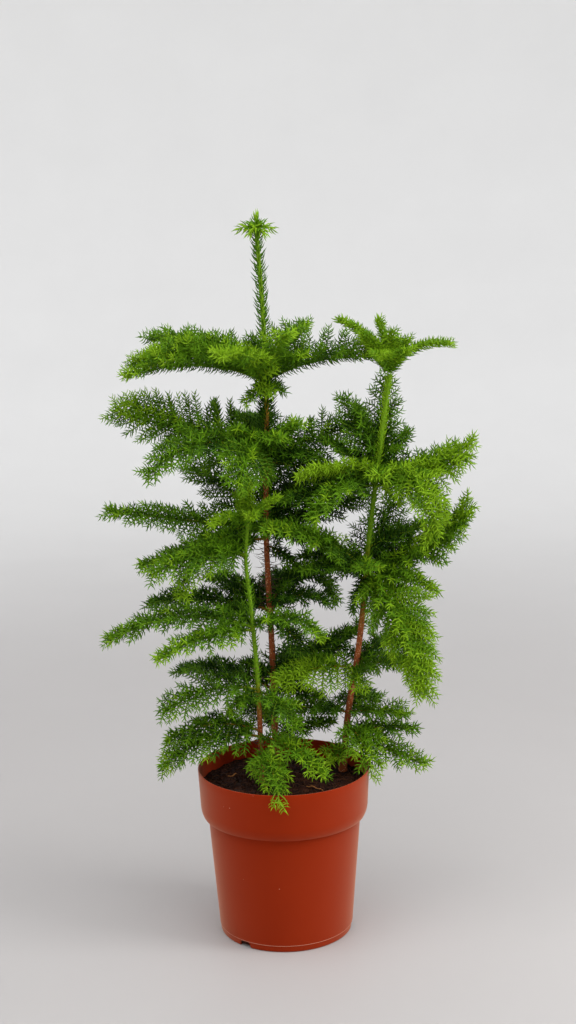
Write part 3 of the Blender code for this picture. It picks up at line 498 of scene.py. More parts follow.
def needle_leaf(name, color):
    """Living needles: plain green for each tone, satin with a waxy skin, a little lighter here and there."""
    mat, tree, shader, place = surface(name)    # the tone drifts over 22 mm, about two needles' length
    fill(shader, {"Base Color": drifting(tree, place, color, 45.0, 2.0, (0.82, 1.18)),
                  "Roughness": 0.55, "Specular IOR Level": 0.08})
    return mat


def green_of(foliage, tone):
    """The material of one tone of green, made when it is first asked for."""
    name = f"{tone}_needle_green"
    return bpy.data.materials.get(name) or needle_leaf(name, tuple(getattr(foliage, tone)))


def finished(obj, slot, material, *nodes):
    """Gives a finished piece its material and body, and hides the nodes that it stands for; its slot is not
    used.
    """
    if material:
        obj.data.materials.clear()
        obj.data.materials.append(material)
    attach(obj, "root")
    if nodes:
        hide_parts(*nodes)


def new_object(name, data):
    obj = bpy.data.objects.new(name, data)
    bpy.context.scene.collection.objects.link(obj)
    return obj


def mesh_of(bm, name, crease=40.0):
    """Turns bmesh geometry into a mesh with smooth faces and crisp edges."""
    bmesh.ops.recalc_face_normals(bm, faces=bm.faces)
    mesh = bpy.data.meshes.new(name)
    bm.to_mesh(mesh)
    bm.free()
    mesh.shade_smooth()
    mesh.set_sharp_from_angle(angle=math.radians(crease))
    return mesh


def changed_mesh(obj):
    """The plain mesh that an object's modifiers make of its own."""
    graph = bpy.context.evaluated_depsgraph_get()
    graph.update()
    return bpy.data.meshes.new_from_object(obj.evaluated_get(graph))


def search_tree(mesh):
    return BVHTree.FromPolygons([v.co for v in mesh.vertices], [tuple(p.vertices) for p in mesh.polygons])


def turned(profile, segments):
    """A solid turned about +Z from a profile of radius and height that starts and ends on the axis."""
    bm = bmesh.new()
    line = [bm.verts.new((r, 0.0, z)) for r, z in profile]
    edges = [bm.edges.new(pair) for pair in zip(line, line[1:])]
    bmesh.ops.spin(bm, geom=line + edges, cent=(0, 0, 0), axis=(0, 0, 1), angle=2 * math.pi, steps=segments)
    bmesh.ops.remove_doubles(bm, verts=bm.verts, dist=1e-6)
    return bm


def arc(centre, radius, start, end, count):
    """Points of a profile on an arc, from one angle to another."""
    angles = np.radians(np.linspace(start, end, count))
    return [(centre[0] + radius * math.cos(a), centre[1] + radius * math.sin(a)) for a in angles]


def stem_point(stem, z):
    """The point of a stem's smooth middle line at a height."""
    knots = np.array(stem.knots)
    heights = knots[:, 0]
    slopes = np.gradient(knots[:, 1:], heights, axis=0)
    i = int(np.clip(np.searchsorted(heights, z) - 1, 0, len(heights) - 2))
    span = heights[i + 1] - heights[i]
    t = max(z - heights[i], 0.0) / span
    across = (knots[i, 1:] * (2 * t**3 - 3 * t**2 + 1) + slopes[i] * span * (t**3 - 2 * t**2 + t)
              + knots[i + 1, 1:] * (3 * t**2 - 2 * t**3) + slopes[i + 1] * span * (t**3 - t**2))
    return np.array([across[0], across[1], z])


def stem_radius(stem, z):
    """Radius of a stem at a height: an even taper, and a flare at the foot."""
    share = (z - FOOT) / (stem.knots[-1][0] - FOOT)
    flare = ROOT_FLARE * math.exp(-max(z - FOOT, 0.0) / FLARE_HEIGHT)
    return stem.foot_radius + (stem.tip_radius - stem.foot_radius) * share + flare


def stem_age(stem, z):
    """Age of a stem's bark: brown below the turn, and green above it."""
    return float(np.clip(0.5 + (stem.green_from - z) / stem.ripening, 0.0, 1.0))


def heading(azimuth, elevation):
    a, e = math.radians(azimuth), math.radians(elevation)
    return np.array([math.cos(a) * math.cos(e), math.sin(a) * math.cos(e), math.sin(e)])


def limb_line(start, azimuth, rise, arch, length, steps):
    """Points along a limb that leaves at one elevation and bends down evenly."""
    points = [np.array(start)]
    for i in range(steps):
        share = (i + 0.5) / steps
        points.append(points[-1] + heading(azimuth, rise - arch * share) * length / steps)
    return points


def point_on(line, share):
    """Place and direction at a share of a line's length."""
    along = min(max(share, 0.0), 1.0) * (len(line) - 1)
    i = min(int(along), len(line) - 2)
    step = line[i + 1] - line[i]
    return line[i] + step * (along - i), step / np.linalg.norm(step)


def frond_axes(direction, roll):
    """Side and upward directions of a frond, turned by its roll about the limb."""
    side = np.cross(UP, direction)
    if np.linalg.norm(side) < 0.05:     # a limb that stands upright
        side = np.cross((0.0, 1.0, 0.0), direction)
    side /= np.linalg.norm(side)
    up = np.cross(direction, side)
    r = math.radians(roll)
    return math.cos(r) * side + math.sin(r) * up, math.cos(r) * up - math.sin(r) * side


def spray_length(share, reach):
    """Twigs are longest a quarter of the way out, and shorten to the tip."""
    return reach * min(1.0, 0.55 + 1.8 * share) * (1 - 0.68 * share**2)


def limb_radius(length):
    return 0.0014 + 0.0036 * length


class Room:
    """What twigs keep out of: the pot, the peat and the stems."""

    def __init__(self):
        self.trees = [search_tree(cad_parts[name].data)
                      for name in ("pot", "soil", *(f"{stem.name}_stem" for stem in STEMS))]

    def free_steps(self, points):
        """How many steps of a twig stay clear, with room ahead of its tip."""
        for i, step in enumerate(np.diff(points, axis=0)):
            size = float(np.linalg.norm(step))
            start, way = Vector(points[i]), Vector(step / size)
            if any(tree.ray_cast(start, way, size + TWIG_ROOM)[0] for tree in self.trees):
                return i
        return len(points) - 1


def twig_line(root, way, length, droop, rng, vigour):
    """A twig that bends evenly towards the ground, or up where its droop is less than nothing."""
    points = [root]
    bend = rng.normal(0, 6)
    side = np.cross(way, UP)
    for i in range(TWIG_STEPS):
        share = (i + 0.5) / TWIG_STEPS
        down = -UP + UP.dot(way) * way
        size = np.linalg.norm(down)
        down = down / size if size > 0.05 else np.zeros(3)
        drop = math.radians(droop) * share
        step = math.cos(drop) * way + math.sin(drop) * down + side * math.radians(bend) * share
        points.append(points[-1] + step / np.linalg.norm(step) * length / TWIG_STEPS)
    share = np.linspace(0, 1, len(points))
    size = vigour * np.minimum(0.75 + 1.6 * share, 1.0) * np.clip(1.55 - 0.85 * share, 0.7, 1.0)
    return Line(np.array(points), np.linspace(*TWIG_RADII, len(points)), size,
                70 - 32 * share**3, np.full(len(points), YOUNG_AGE))


def cut_line(line, count):
    """The first steps of a line, with its end values kept at the new end."""
    if count >= len(line.points) - 1:
        return line
    n = count + 1
    return Line(line.points[:n], *(np.interp(np.linspace(0, 1, n), np.linspace(0, 1, len(v)), v)
                                   for v in line[1:]))


def split_tip(line, length):
    """A line in two: its body, and a tip of about this length."""
    total = np.linalg.norm(np.diff(line.points, axis=0), axis=1).sum()
    cut = 1 - min(length / total, 0.6)
    share = np.linspace(0, 1, len(line.points))
    values = [line.points[:, k] for k in range(3)] + list(line[1:])
    parts = []
    for low, high in ((0, cut), (cut, 1)):
        v = [np.interp(np.linspace(low, high, 5), share, value) for value in values]
        parts.append(Line(np.stack(v[:3], 1), *v[3:]))
    return parts


def tone_of(fresh):
    return TONES[int(np.clip(fresh * 4, 0, 3))]


def deal(needles, line, tip_length, fresh, tip_fresh_and_lit):
    """Sorts a line under the tone of its needles, and its tip under a fresher one."""
    body, tip = split_tip(line, tip_length)
    needles[tone_of(fresh)].append(body)
    needles[tone_of(tip_fresh_and_lit)].append(tip)


def grow_bough(stem, bough, spacing, rng, room):
    """The limb and twigs of one bough, and its needle lines by tone."""
    start = (stem_point(stem, bough.height)
             + heading(bough.azimuth, 0) * stem_radius(stem, bough.height) * 0.4)
    line = limb_line(start, bough.azimuth, bough.rise, bough.arch, bough.length, LIMB_STEPS)
    share = np.linspace(0, 1, len(line))
    girth = limb_radius(bough.length)
    swollen_foot = 0.0006 * np.exp(-share * 30)
    limb = Line(np.array(line), girth + (LIMB_TIP_RADIUS - girth) * share + swollen_foot,
                np.minimum(0.5 + 6 * share, 1.05) * np.clip(1.6 - share, 0.6, 1), 70 - 38 * share**3,
                np.clip(0.62 * stem_age(stem, bough.height) + 0.12 - 0.75 * share, 0.0, 1.0))
    wood, needles = [limb], {tone: [] for tone in TONES}
    # Painted shade and fresh growth: a limb's needles along its length are a tone darker than its bough, for
    # the shade inside the bough, and its tip is a lighter fresh tone
    deal(needles, limb, LIMB_TIP, bough.fresh - 0.12, bough.fresh + 0.30)
    pairs = max(2, round(bough.length * (LAST_TWIG - FIRST_TWIG) / spacing))
    pitch = (LAST_TWIG - FIRST_TWIG) / pairs
    for k in range(pairs):
        for side in (1, -1, 0):
            at = FIRST_TWIG + pitch * (k + 0.5 + 0.25 * side + rng.uniform(-0.12, 0.12))
            root, direction = point_on(line, at)
            across, up = frond_axes(direction, bough.roll)
            forward = math.radians(FORWARD_AT_ROOT + (FORWARD_AT_TIP - FORWARD_AT_ROOT) * at
                                   + rng.normal(0, 4))
            tilt = math.radians(bough.lift + rng.normal(0, 11) if side else 90 + rng.normal(0, 24))
            way = (math.cos(forward) * direction
                   + math.sin(forward) * ((side or 1) * math.cos(tilt) * across + math.sin(tilt) * up))
            length = spray_length(at, bough.reach) * rng.uniform(0.84, 1.10) * (1.0 if side else TOP_ROW)
            mood = rng.normal(0, 0.10)
            twig = twig_line(root, way, length, bough.droop + rng.normal(0, 9), rng, rng.uniform(0.92, 1.06))
            twig = cut_line(twig, room.free_steps(twig.points))
            if len(twig.points) < 3:
                continue
            wood.append(twig)
            # Painted shade: twigs nearer the stem get a darker tone, where shade falls inside the crown, and
            # outer twigs a lighter one; mood is a random difference of tone
            fresh = bough.fresh + 0.25 * (at - 0.5) + mood
            deal(needles, twig, TWIG_TIP, fresh, fresh + 0.20)
    return wood, needles


def grow_crown(stem, crown, rng):
    """The young whorl that ends a stem, with its leader."""
    wood, needles = [], {tone: [] for tone in TONES}
    base = stem_point(stem, stem.knots[-1][0])
    past = 0.0 if crown.reach else BUD_NEEDLES
    leader = crown.leader
    lines = [([base] + limb_line(base + UP * NECK, *leader[:3], leader.length - past, 8),
              leader.length - past, stem.tip_radius * 0.8)]
    for shoot in crown.shoots:
        length = shoot.length - past
        lines.append((limb_line(base + UP * NECK * 0.75, *shoot[:3], length, 10), length, CROWN_RADII[0]))
    for line, length, girth in lines:
        share = np.linspace(0, 1, len(line))
        is_bud_leader = past and line is lines[0][0]
        young = Line(np.array(line), girth + (CROWN_RADII[1] - girth) * share,
                     np.clip(1.30 - (0.3 if past else 0.4) * share, 0.60, 1.15),
                     42 - 28 * share if is_bud_leader else 62 - 40 * share**2, np.full(len(line), 0.05))
        wood.append(young)
        body, tip = split_tip(young, 0.5 * length)
        needles["fresh"].append(body)
        needles["bud"].append(tip)
        pairs = max(2, round(length / CROWN_TWIG_SPACING)) if crown.reach else 0
        for k in range(pairs):
            for side in (1, -1):
                at = 0.10 + 0.85 * (k + 0.5 + 0.2 * side) / pairs
                root, direction = point_on(line, at)
                across, up = frond_axes(direction, 0)
                way = 0.62 * direction + 0.78 * (side * across * 0.93 + up * 0.36)
                size = crown.reach * rng.uniform(0.7, 1.15) * (1 - 0.4 * at)
                twig = twig_line(root, way / np.linalg.norm(way), size, 0, rng, 0.8)
                wood.append(twig)
                needles["bud" if rng.random() < 0.6 else "fresh"].append(twig)
    return wood, needles


def grow_stem(stem, foliage, room):
    """All the wood and needle lines of one stem's boughs and crown."""
    def draws(number):
        return np.random.default_rng((foliage.seed, len(stem.name), number))

    grown = [grow_bough(stem, bough, foliage.twig_spacing, draws(i), room)
             for i, bough in enumerate(BOUGHS[stem.name] + INNER[stem.name])]
    grown.append(grow_crown(stem, CROWNS[stem.name], draws(99)))
    wood = [line for limbs, _ in grown for line in limbs]
    return wood, {tone: [line for _, lines in grown for line in lines[tone]] for tone in TONES}


def stem_line(stem, low, high, lean):
    """The line that a stem's own needles stand on, from one height to another."""
    heights = np.linspace(low, high, max(8, round((high - low) / 0.006)))
    n = len(heights)
    return Line(np.array([stem_point(stem, z) for z in heights]), np.zeros(n), np.ones(n),
                np.full(n, lean), np.zeros(n))


def lines_mesh(name, lines):
    """A mesh of open lines that carries their values as attributes."""
    points = np.concatenate([line.points for line in lines])
    counts = [len(line.points) for line in lines]
    starts = np.cumsum([0] + counts[:-1])
    edges = [(s + i, s + i + 1) for s, n in zip(starts, counts) for i in range(n - 1)]
    mesh = bpy.data.meshes.new(name)
    mesh.from_pydata(points.tolist(), edges, [])
    for field in Line._fields[1:]:
        values = np.concatenate([getattr(line, field) for line in lines]).astype(np.float32)
        mesh.attributes.new(field, "FLOAT", "POINT").data.foreach_set("value", values)
    return mesh


def new_tree(name, *sockets):
    """An empty geometry tree with these named inputs, the last its material, and its input node."""
    tree = bpy.data.node_groups.new(name, "GeometryNodeTree")
    for label, kind, value in (*sockets, ("Material", "Material", None)):
        socket = tree.interface.new_socket(label, in_out="INPUT", socket_type=f"NodeSocket{kind}")
        if value is not None:
            socket.default_value = value
    tree.interface.new_socket("Geometry", in_out="OUTPUT", socket_type="NodeSocketGeometry")
    return tree, tree.nodes.new("NodeGroupInput").outputs


def end_tree(tree, given, geometry):
    """Ends a geometry tree: instances turn real, and all of it gets the material."""
    real = add(tree, "GeometryNodeRealizeInstances", {"Geometry": geometry})
    done = add(tree, "GeometryNodeSetMaterial", {"Geometry": real, "Material": given["Material"]})
    add(tree, "NodeGroupOutput", {0: done})
    return tree


def wood_on_lines():
    """Tapering round wood along lines; it carries their age for the bark."""
    tree, given = new_tree("wood_on_lines", ("Lines", "Geometry", None), ("Sides", "Int", 6))
    curve = add(tree, "GeometryNodeMeshToCurve", {"Mesh": given["Lines"]})
    girth = add(tree, "GeometryNodeInputNamedAttribute", {"Name": "girth"}, data_type="FLOAT")
    ring = add(tree, "GeometryNodeCurvePrimitiveCircle", {"Resolution": given["Sides"], "Radius": 1.0},
               mode="RADIUS")
    wood = add(tree, "GeometryNodeCurveToMesh",
               {"Curve": curve, "Profile Curve": ring, "Scale": girth, "Fill Caps": True})
    return end_tree(tree, given, add(tree, "GeometryNodeSetShadeSmooth", {"Geometry": wood}))


def needles_on_lines():
    """Needles in a golden spiral on lines; near the pot and the peat they stay short of the surface."""
    tree, given = new_tree(
        "needles_on_lines", ("Lines", "Geometry", None), ("Needle", "Object", None),
        ("Keep Clear Of", "Object", None), ("Pitch", "Float", 0.0006), ("Length", "Float", 0.012),
        ("Spread", "Float", 0.16), ("Seed", "Int", 1))
    curve = add(tree, "GeometryNodeMeshToCurve", {"Mesh": given["Lines"]})
    points = add(tree, "GeometryNodeCurveToPoints", {"Curve": curve, "Length": given["Pitch"]},
                 mode="LENGTH").outputs
    stray, grown = (add(tree, "FunctionNodeRandomValue", {"Seed": given["Seed"], 2: low, 3: high},
                        data_type="FLOAT").outputs[1] for low, high in ((-1.0, 1.0), (0.88, 1.08)))
    size, degrees = (add(tree, "GeometryNodeInputNamedAttribute", {"Name": name}, data_type="FLOAT")
                     for name in ("size", "lean"))
    index = add(tree, "GeometryNodeInputIndex", {})
    turn = add(tree, "ShaderNodeMath", {0: index, 1: GOLDEN_ANGLE}, operation="MULTIPLY")
    spin = add(tree, "ShaderNodeMath", {0: stray, 1: 0.3, 2: turn}, operation="MULTIPLY_ADD")
    even = add(tree, "ShaderNodeMath", {0: degrees}, operation="RADIANS")
    lean = add(tree, "ShaderNodeMath", {0: stray, 1: given["Spread"], 2: even}, operation="MULTIPLY_ADD")
    aimed = points["Rotation"]
    for axis, angle in (((0, 0, 1), spin), ((1, 0, 0), lean)):
        about = add(tree, "FunctionNodeAxisAngleToRotation", {"Axis": axis, "Angle": angle})
        aimed = add(tree, "FunctionNodeRotateRotation", {"Rotation": aimed, "Rotate By": about},
                    rotation_space="LOCAL")
    full = add(tree, "ShaderNodeMath", {0: size, 1: given["Length"]}, operation="MULTIPLY")
    varied = add(tree, "ShaderNodeMath", {0: full, 1: grown}, operation="MULTIPLY")
    solid = add(tree, "GeometryNodeObjectInfo", {"Object": given["Keep Clear Of"]},
                transform_space="RELATIVE").outputs["Geometry"]
    gap = add(tree, "GeometryNodeProximity", {"Geometry": solid}, target_element="FACES")
    kept = add(tree, "ShaderNodeMath", {0: varied, 1: gap.outputs["Distance"]}, operation="MINIMUM")
    needle = add(tree, "GeometryNodeObjectInfo", {"Object": given["Needle"]},
                 transform_space="ORIGINAL").outputs["Geometry"]
    return end_tree(tree, given, add(
        tree, "GeometryNodeInstanceOnPoints",
        {"Points": points["Points"], "Instance": needle, "Rotation": aimed, "Scale": kept}))


def scattered_on_surface():
    """Small things scattered on a surface, turned every way and grown to random sizes."""
    tree, given = new_tree(
        "scattered_on_surface", ("Surface", "Geometry", None), ("Thing", "Object", None),
        ("Density", "Float", 10000.0), ("Smallest", "Float", 0.001), ("Largest", "Float", 0.004),
        ("Tilt", "Float", 3.2), ("Seed", "Int", 1))
    points = add(tree, "GeometryNodeDistributePointsOnFaces",
                 {"Mesh": given["Surface"], "Density": given["Density"], "Seed": given["Seed"]},
                 distribute_method="RANDOM")
    size = add(tree, "FunctionNodeRandomValue",
               {"Seed": given["Seed"], 2: given["Smallest"], 3: given["Largest"]}, data_type="FLOAT")
    low = add(tree, "ShaderNodeMath", {0: given["Tilt"], 1: -1.0}, operation="MULTIPLY")
    least = add(tree, "ShaderNodeCombineXYZ", {0: low, 1: low, 2: -math.pi})
    most = add(tree, "ShaderNodeCombineXYZ", {0: given["Tilt"], 1: given["Tilt"], 2: math.pi})
    turn = add(tree, "FunctionNodeRandomValue", {"Seed": given["Seed"], 0: least, 1: most},
               data_type="FLOAT_VECTOR")
    thing = add(tree, "GeometryNodeObjectInfo", {"Object": given["Thing"]},
                transform_space="ORIGINAL").outputs["Geometry"]
    return end_tree(tree, given, add(
        tree, "GeometryNodeInstanceOnPoints",
        {"Points": points, "Instance": thing, "Rotation": turn, "Scale": size.outputs[1]}))


def shaped(name, mesh, make_tree, values):
    """The object that a geometry tree makes of a mesh with these inputs; the tree is made only once."""
    tree = bpy.data.node_groups.get(make_tree.__name__) or make_tree()
    obj = new_object(name, mesh)
    modifier = obj.modifiers.new(name, "NODES")
    modifier.node_group = tree
    for item in tree.interface.items_tree:
        if item.item_type == "SOCKET" and item.name in values:
            modifier[item.identifier] = values[item.name]
    result = changed_mesh(obj)
    obj.modifiers.remove(modifier)
    obj.data = result
    result.name = name
    return obj


def needle_shape(width, curl):
    """One needle of unit length along +Z: a three-sided awl that bows away from +Y and back."""
    rings = ((-0.02, 0.0, 0.74), (0.52, -curl, 1.0))        # height, bow and share of the full width
    points = [(width * size * 0.5 * math.cos(a), bow + width * size * 0.45 * math.sin(a), z)
              for z, bow, size in rings for a in np.radians((90, 210, 330))]
    points.append((0.0, 0.05, 1.0))
    faces = [(0, 2, 1)]
    for i, j in ((0, 1), (1, 2), (2, 0)):
        faces += [(i, j, j + 3, i + 3), (i + 3, j + 3, 6)]
    mesh = bpy.data.meshes.new("needle_shape")
    mesh.from_pydata(points, [], faces)
    return new_object("needle", mesh)


def brush(name, lines, shape, values):
    """Needles on lines, as one piece, or several where one would hold too many faces."""
    pitch = values["Pitch"]
    share = PIECE_TRIANGLES / sum(len(p.vertices) - 2 for p in shape.data.polygons) * pitch
    chunks, total = [[]], 0.0
    for line in lines:
        length = np.linalg.norm(np.diff(line.points, axis=0), axis=1).sum() + pitch
        if total + length > share:
            chunks.append([])
            total = 0.0
        chunks[-1].append(line)
        total += length
    return [shaped(f"{name}_{i + 1}", lines_mesh(name, chunk), needles_on_lines, {**values, "Needle": shape})
            for i, chunk in enumerate(chunks) if chunk]


class PINE_OT_pot(bpy.types.Operator):
    """Makes the nursery pot: thin moulded walls, a rounded collar, a parting line and drain notches"""
    bl_idname = "pine.pot"
    bl_label = "Pot"

    def execute(self, context):
        pot = context.scene.pine_pot
        profile = self.outside(pot) + self.inside(pot)
        shape = new_object("nursery_pot", mesh_of(turned(profile, 144), "nursery_pot", POT_CREASE))
        for azimuth in NOTCHES:
            self.cut_notch(shape, azimuth, pot)
        shape.data.shade_smooth()
        shape.data.set_sharp_from_angle(angle=math.radians(POT_CREASE))
        finished(shape, "pot", polypropylene(pot), "pot")
        return {"FINISHED"}

    def outside(self, pot):
        """The outer profile, from the middle of the underside to the rim."""
        height, rim, base = pot.height, pot.rim_radius, pot.base_radius
        slope = (BODY_TOP_RADIUS - base) / BODY_TOP
        line_radius = base + slope * PARTING_LINE
        overhang = COLLAR_RADIUS - BODY_TOP_RADIUS
        bend = np.radians(np.linspace(COLLAR_BEND, 90, 9))
        drop = (COLLAR_LOW - BODY_TOP) / math.cos(bend[0])
        return [
            (0.0, 0.0), (base - 0.010, 0.0), *arc((base - 0.0030, FOOT_ROUNDING), FOOT_ROUNDING, -90, 0, 6),
            (line_radius - PARTING_STEP, PARTING_LINE - 0.0004), (line_radius, PARTING_LINE),
            *((base + slope * z, z) for z in np.linspace(0.013, BODY_TOP - 0.004, 12)),
            (BODY_TOP_RADIUS, BODY_TOP),
            *((BODY_TOP_RADIUS + overhang * math.sin(a), COLLAR_LOW - drop * math.cos(a)) for a in bend),
            *((COLLAR_RADIUS + (rim - COLLAR_RADIUS) * t, COLLAR_LOW + (height - LIP - COLLAR_LOW) * t)
              for t in (0.25, 0.5, 0.75)),
            *arc((rim - LIP, height - LIP), LIP, 0, 90, 5)]

    def inside(self, pot):
        """The inner profile, from the rim to the middle of the pot's floor."""
        wall, centre = pot.wall, (pot.rim_radius - pot.wall + LIP, pot.height - LIP)
        return arc(centre, LIP, 90, 180, 5) + [
            (COLLAR_RADIUS - wall, COLLAR_LOW), (BODY_TOP_RADIUS - wall, BODY_TOP - wall),
            (pot.base_radius - PARTING_STEP - wall, FLOOR_THICKNESS), (0.0, FLOOR_THICKNESS)]

    def cut_notch(self, shape, azimuth, pot):
        """Cuts a drain notch through the edge of the foot."""
        bm = bmesh.new()
        turn = Matrix.Rotation(math.radians(azimuth), 3, "Z")
        inner, outer = ([bm.verts.new(turn @ Vector((r, y, z))) for y, z in NOTCH_SECTION]
                        for r in (pot.base_radius - NOTCH_DEPTH, pot.rim_radius))
        n = len(NOTCH_SECTION)
        for i in range(n):
            bm.faces.new((inner[i], inner[(i + 1) % n], outer[(i + 1) % n], outer[i]))
        bm.faces.new(inner)
        bm.faces.new(outer[::-1])
        cutter = new_object("notch", mesh_of(bm, "notch"))
        cut = shape.modifiers.new("notch", "BOOLEAN")
        cut.operation = "DIFFERENCE"
        cut.object = cutter
        mesh = changed_mesh(shape)
        shape.modifiers.clear()
        shape.data = mesh
        bpy.data.objects.remove(cutter)


class PINE_OT_soil(bpy.types.Operator):
    """Makes the peat that fills the pot, with crumbs, fibres and a few dry twigs on it"""
    bl_idname = "pine.soil"
    bl_label = "Peat"

    def execute(self, context):
        soil = context.scene.pine_soil
        moist = peat(soil)
        ball = new_object("peat_ball", self.ball_mesh(soil))
        finished(ball, "soil", moist, "soil")
        cover = self.cover_mesh(ball)
        for name, thing, density, size, least, tilt, seed, material in (
                ("peat_crumbs", self.crumb_shape(soil.seed), soil.crumb_density, soil.crumb, 0.2, 3.14,
                 soil.seed, moist),
                ("peat_fibres", self.fibre_shape(), soil.fibre_density, soil.fibre, 0.3, 0.35,
                 soil.seed + 1, straw("straw_fibre", soil.fibre_color, tuple(soil.peat_light)))):
            made = shaped(name, cover.copy(), scattered_on_surface, {
                "Thing": thing, "Density": density, "Smallest": size * least, "Largest": size,
                "Tilt": tilt, "Seed": seed})
            finished(made, "soil", material)
            bpy.data.objects.remove(thing)
        litter = shaped("dry_twigs", lines_mesh("dry_twigs", self.fallen_twigs(ball, soil)), wood_on_lines,
                        {"Sides": 6})
        finished(litter, "soil", straw("dry_twig", soil.litter_color))
        return {"FINISHED"}

    def ball_mesh(self, soil):
        """The root ball: a lumpy top that falls away at its edge, and smooth sides inside the pot."""
        rings, sectors = 44, 132
        bm = bmesh.new()
        rows_down = []
        for i in range(1, rings + 1):
            r = PEAT_EDGE * (i / rings) ** 0.9
            row = []
            for k in range(sectors):
                a = 2 * math.pi * k / sectors
                x, y = r * math.cos(a), r * math.sin(a)
                lumps = noise.fractal(Vector((x * 70, y * 70, soil.seed)), 0.8, 2.1, 4)
                fine = noise.fractal(Vector((x * 260, y * 260, soil.seed)), 0.9, 2.0, 3)
                edge_fall = 0.0025 * (r / PEAT_EDGE) ** 6
                row.append(bm.verts.new((x, y, PEAT_TOP + soil.lump * (lumps + 0.35 * fine) - edge_fall)))
            rows_down.append(row)
        centre = bm.verts.new((0, 0, PEAT_TOP))
        rim = rows_down[-1]
        rows_down += [[bm.verts.new((v.co.x * r / PEAT_EDGE, v.co.y * r / PEAT_EDGE, z)) for v in rim]
                      for r, z in PEAT_SIDES]
        bottom = bm.verts.new((0, 0, PEAT_SIDES[-1][1]))
        for k in range(sectors):
            j = (k + 1) % sectors
            bm.faces.new((centre, rows_down[0][k], rows_down[0][j]))
            for high, low in zip(rows_down, rows_down[1:]):
                bm.faces.new((high[k], low[k], low[j], high[j]))
            bm.faces.new((rows_down[-1][k], bottom, rows_down[-1][j]))
        return mesh_of(bm, "peat_ball", 70)

    def cover_mesh(self, ball):
        """The part of the peat's top that crumbs and fibres lie on."""
        bm = bmesh.new()
        bm.from_mesh(ball.data)
        spare = [f for f in bm.faces if f.calc_center_median().z < COVER_LOW or f.normal.z < 0.3
                 or f.calc_center_median().xy.length > PEAT_EDGE - COVER_MARGIN]
        bmesh.ops.delete(bm, geom=spare, context="FACES")
        return mesh_of(bm, "peat_cover")

    def fallen_twigs(self, ball, soil):
        """Lines of the dry twigs that lie on the peat, each from its middle, with its heading and length."""
        rng = np.random.default_rng(soil.seed)
        peat_top = search_tree(ball.data)
        n = 9
        girth = np.interp(np.linspace(0, 1, n), (0, 0.1, 0.8, 1), (0.0005, 0.0010, 0.0009, 0.0004))
        lines = []
        for x, y, azimuth, length in FALLEN:
            way = heading(azimuth, 0)
            side = np.array([-way[1], way[0], 0.0])
            points = []
            for t in np.linspace(-0.5, 0.5, n):
                wave = 0.06 * math.sin(5 * t + x * 90)
                spot = np.array([x, y, ABOVE_PEAT]) + way * length * t + side * length * wave
                low = peat_top.ray_cast(Vector(spot), Vector((0, 0, -1)))[0]
                points.append((spot[0], spot[1], low.z + 0.0012 + rng.uniform(0, 0.0006)))
            lines.append(Line(np.array(points), girth, *np.ones((3, n))))
        return lines

    def crumb_shape(self, seed):
        """A rough lump of unit size."""
        bm = bmesh.new()
        bmesh.ops.create_icosphere(bm, subdivisions=1, radius=0.5)
        for v in bm.verts:
            v.co *= 1 + 0.35 * noise.noise(v.co * 3 + Vector((seed, 0, 0)))
        return new_object("crumb", mesh_of(bm, "crumb", 20))

    def fibre_shape(self):
        """A curved fibre of unit length that lies along +X."""
        girth = np.array([0.010, 0.022, 0.026, 0.024, 0.018, 0.008])
        points = [(x, 0.10 * math.sin(3 * x), 0.12 * math.sin(math.pi * (x + 0.5)))
                  for x in np.linspace(-0.5, 0.5, len(girth))]
        line = Line(np.array(points), girth, *np.ones((3, len(girth))))
        return shaped("fibre", lines_mesh("fibre", [line]), wood_on_lines, {"Sides": 4})


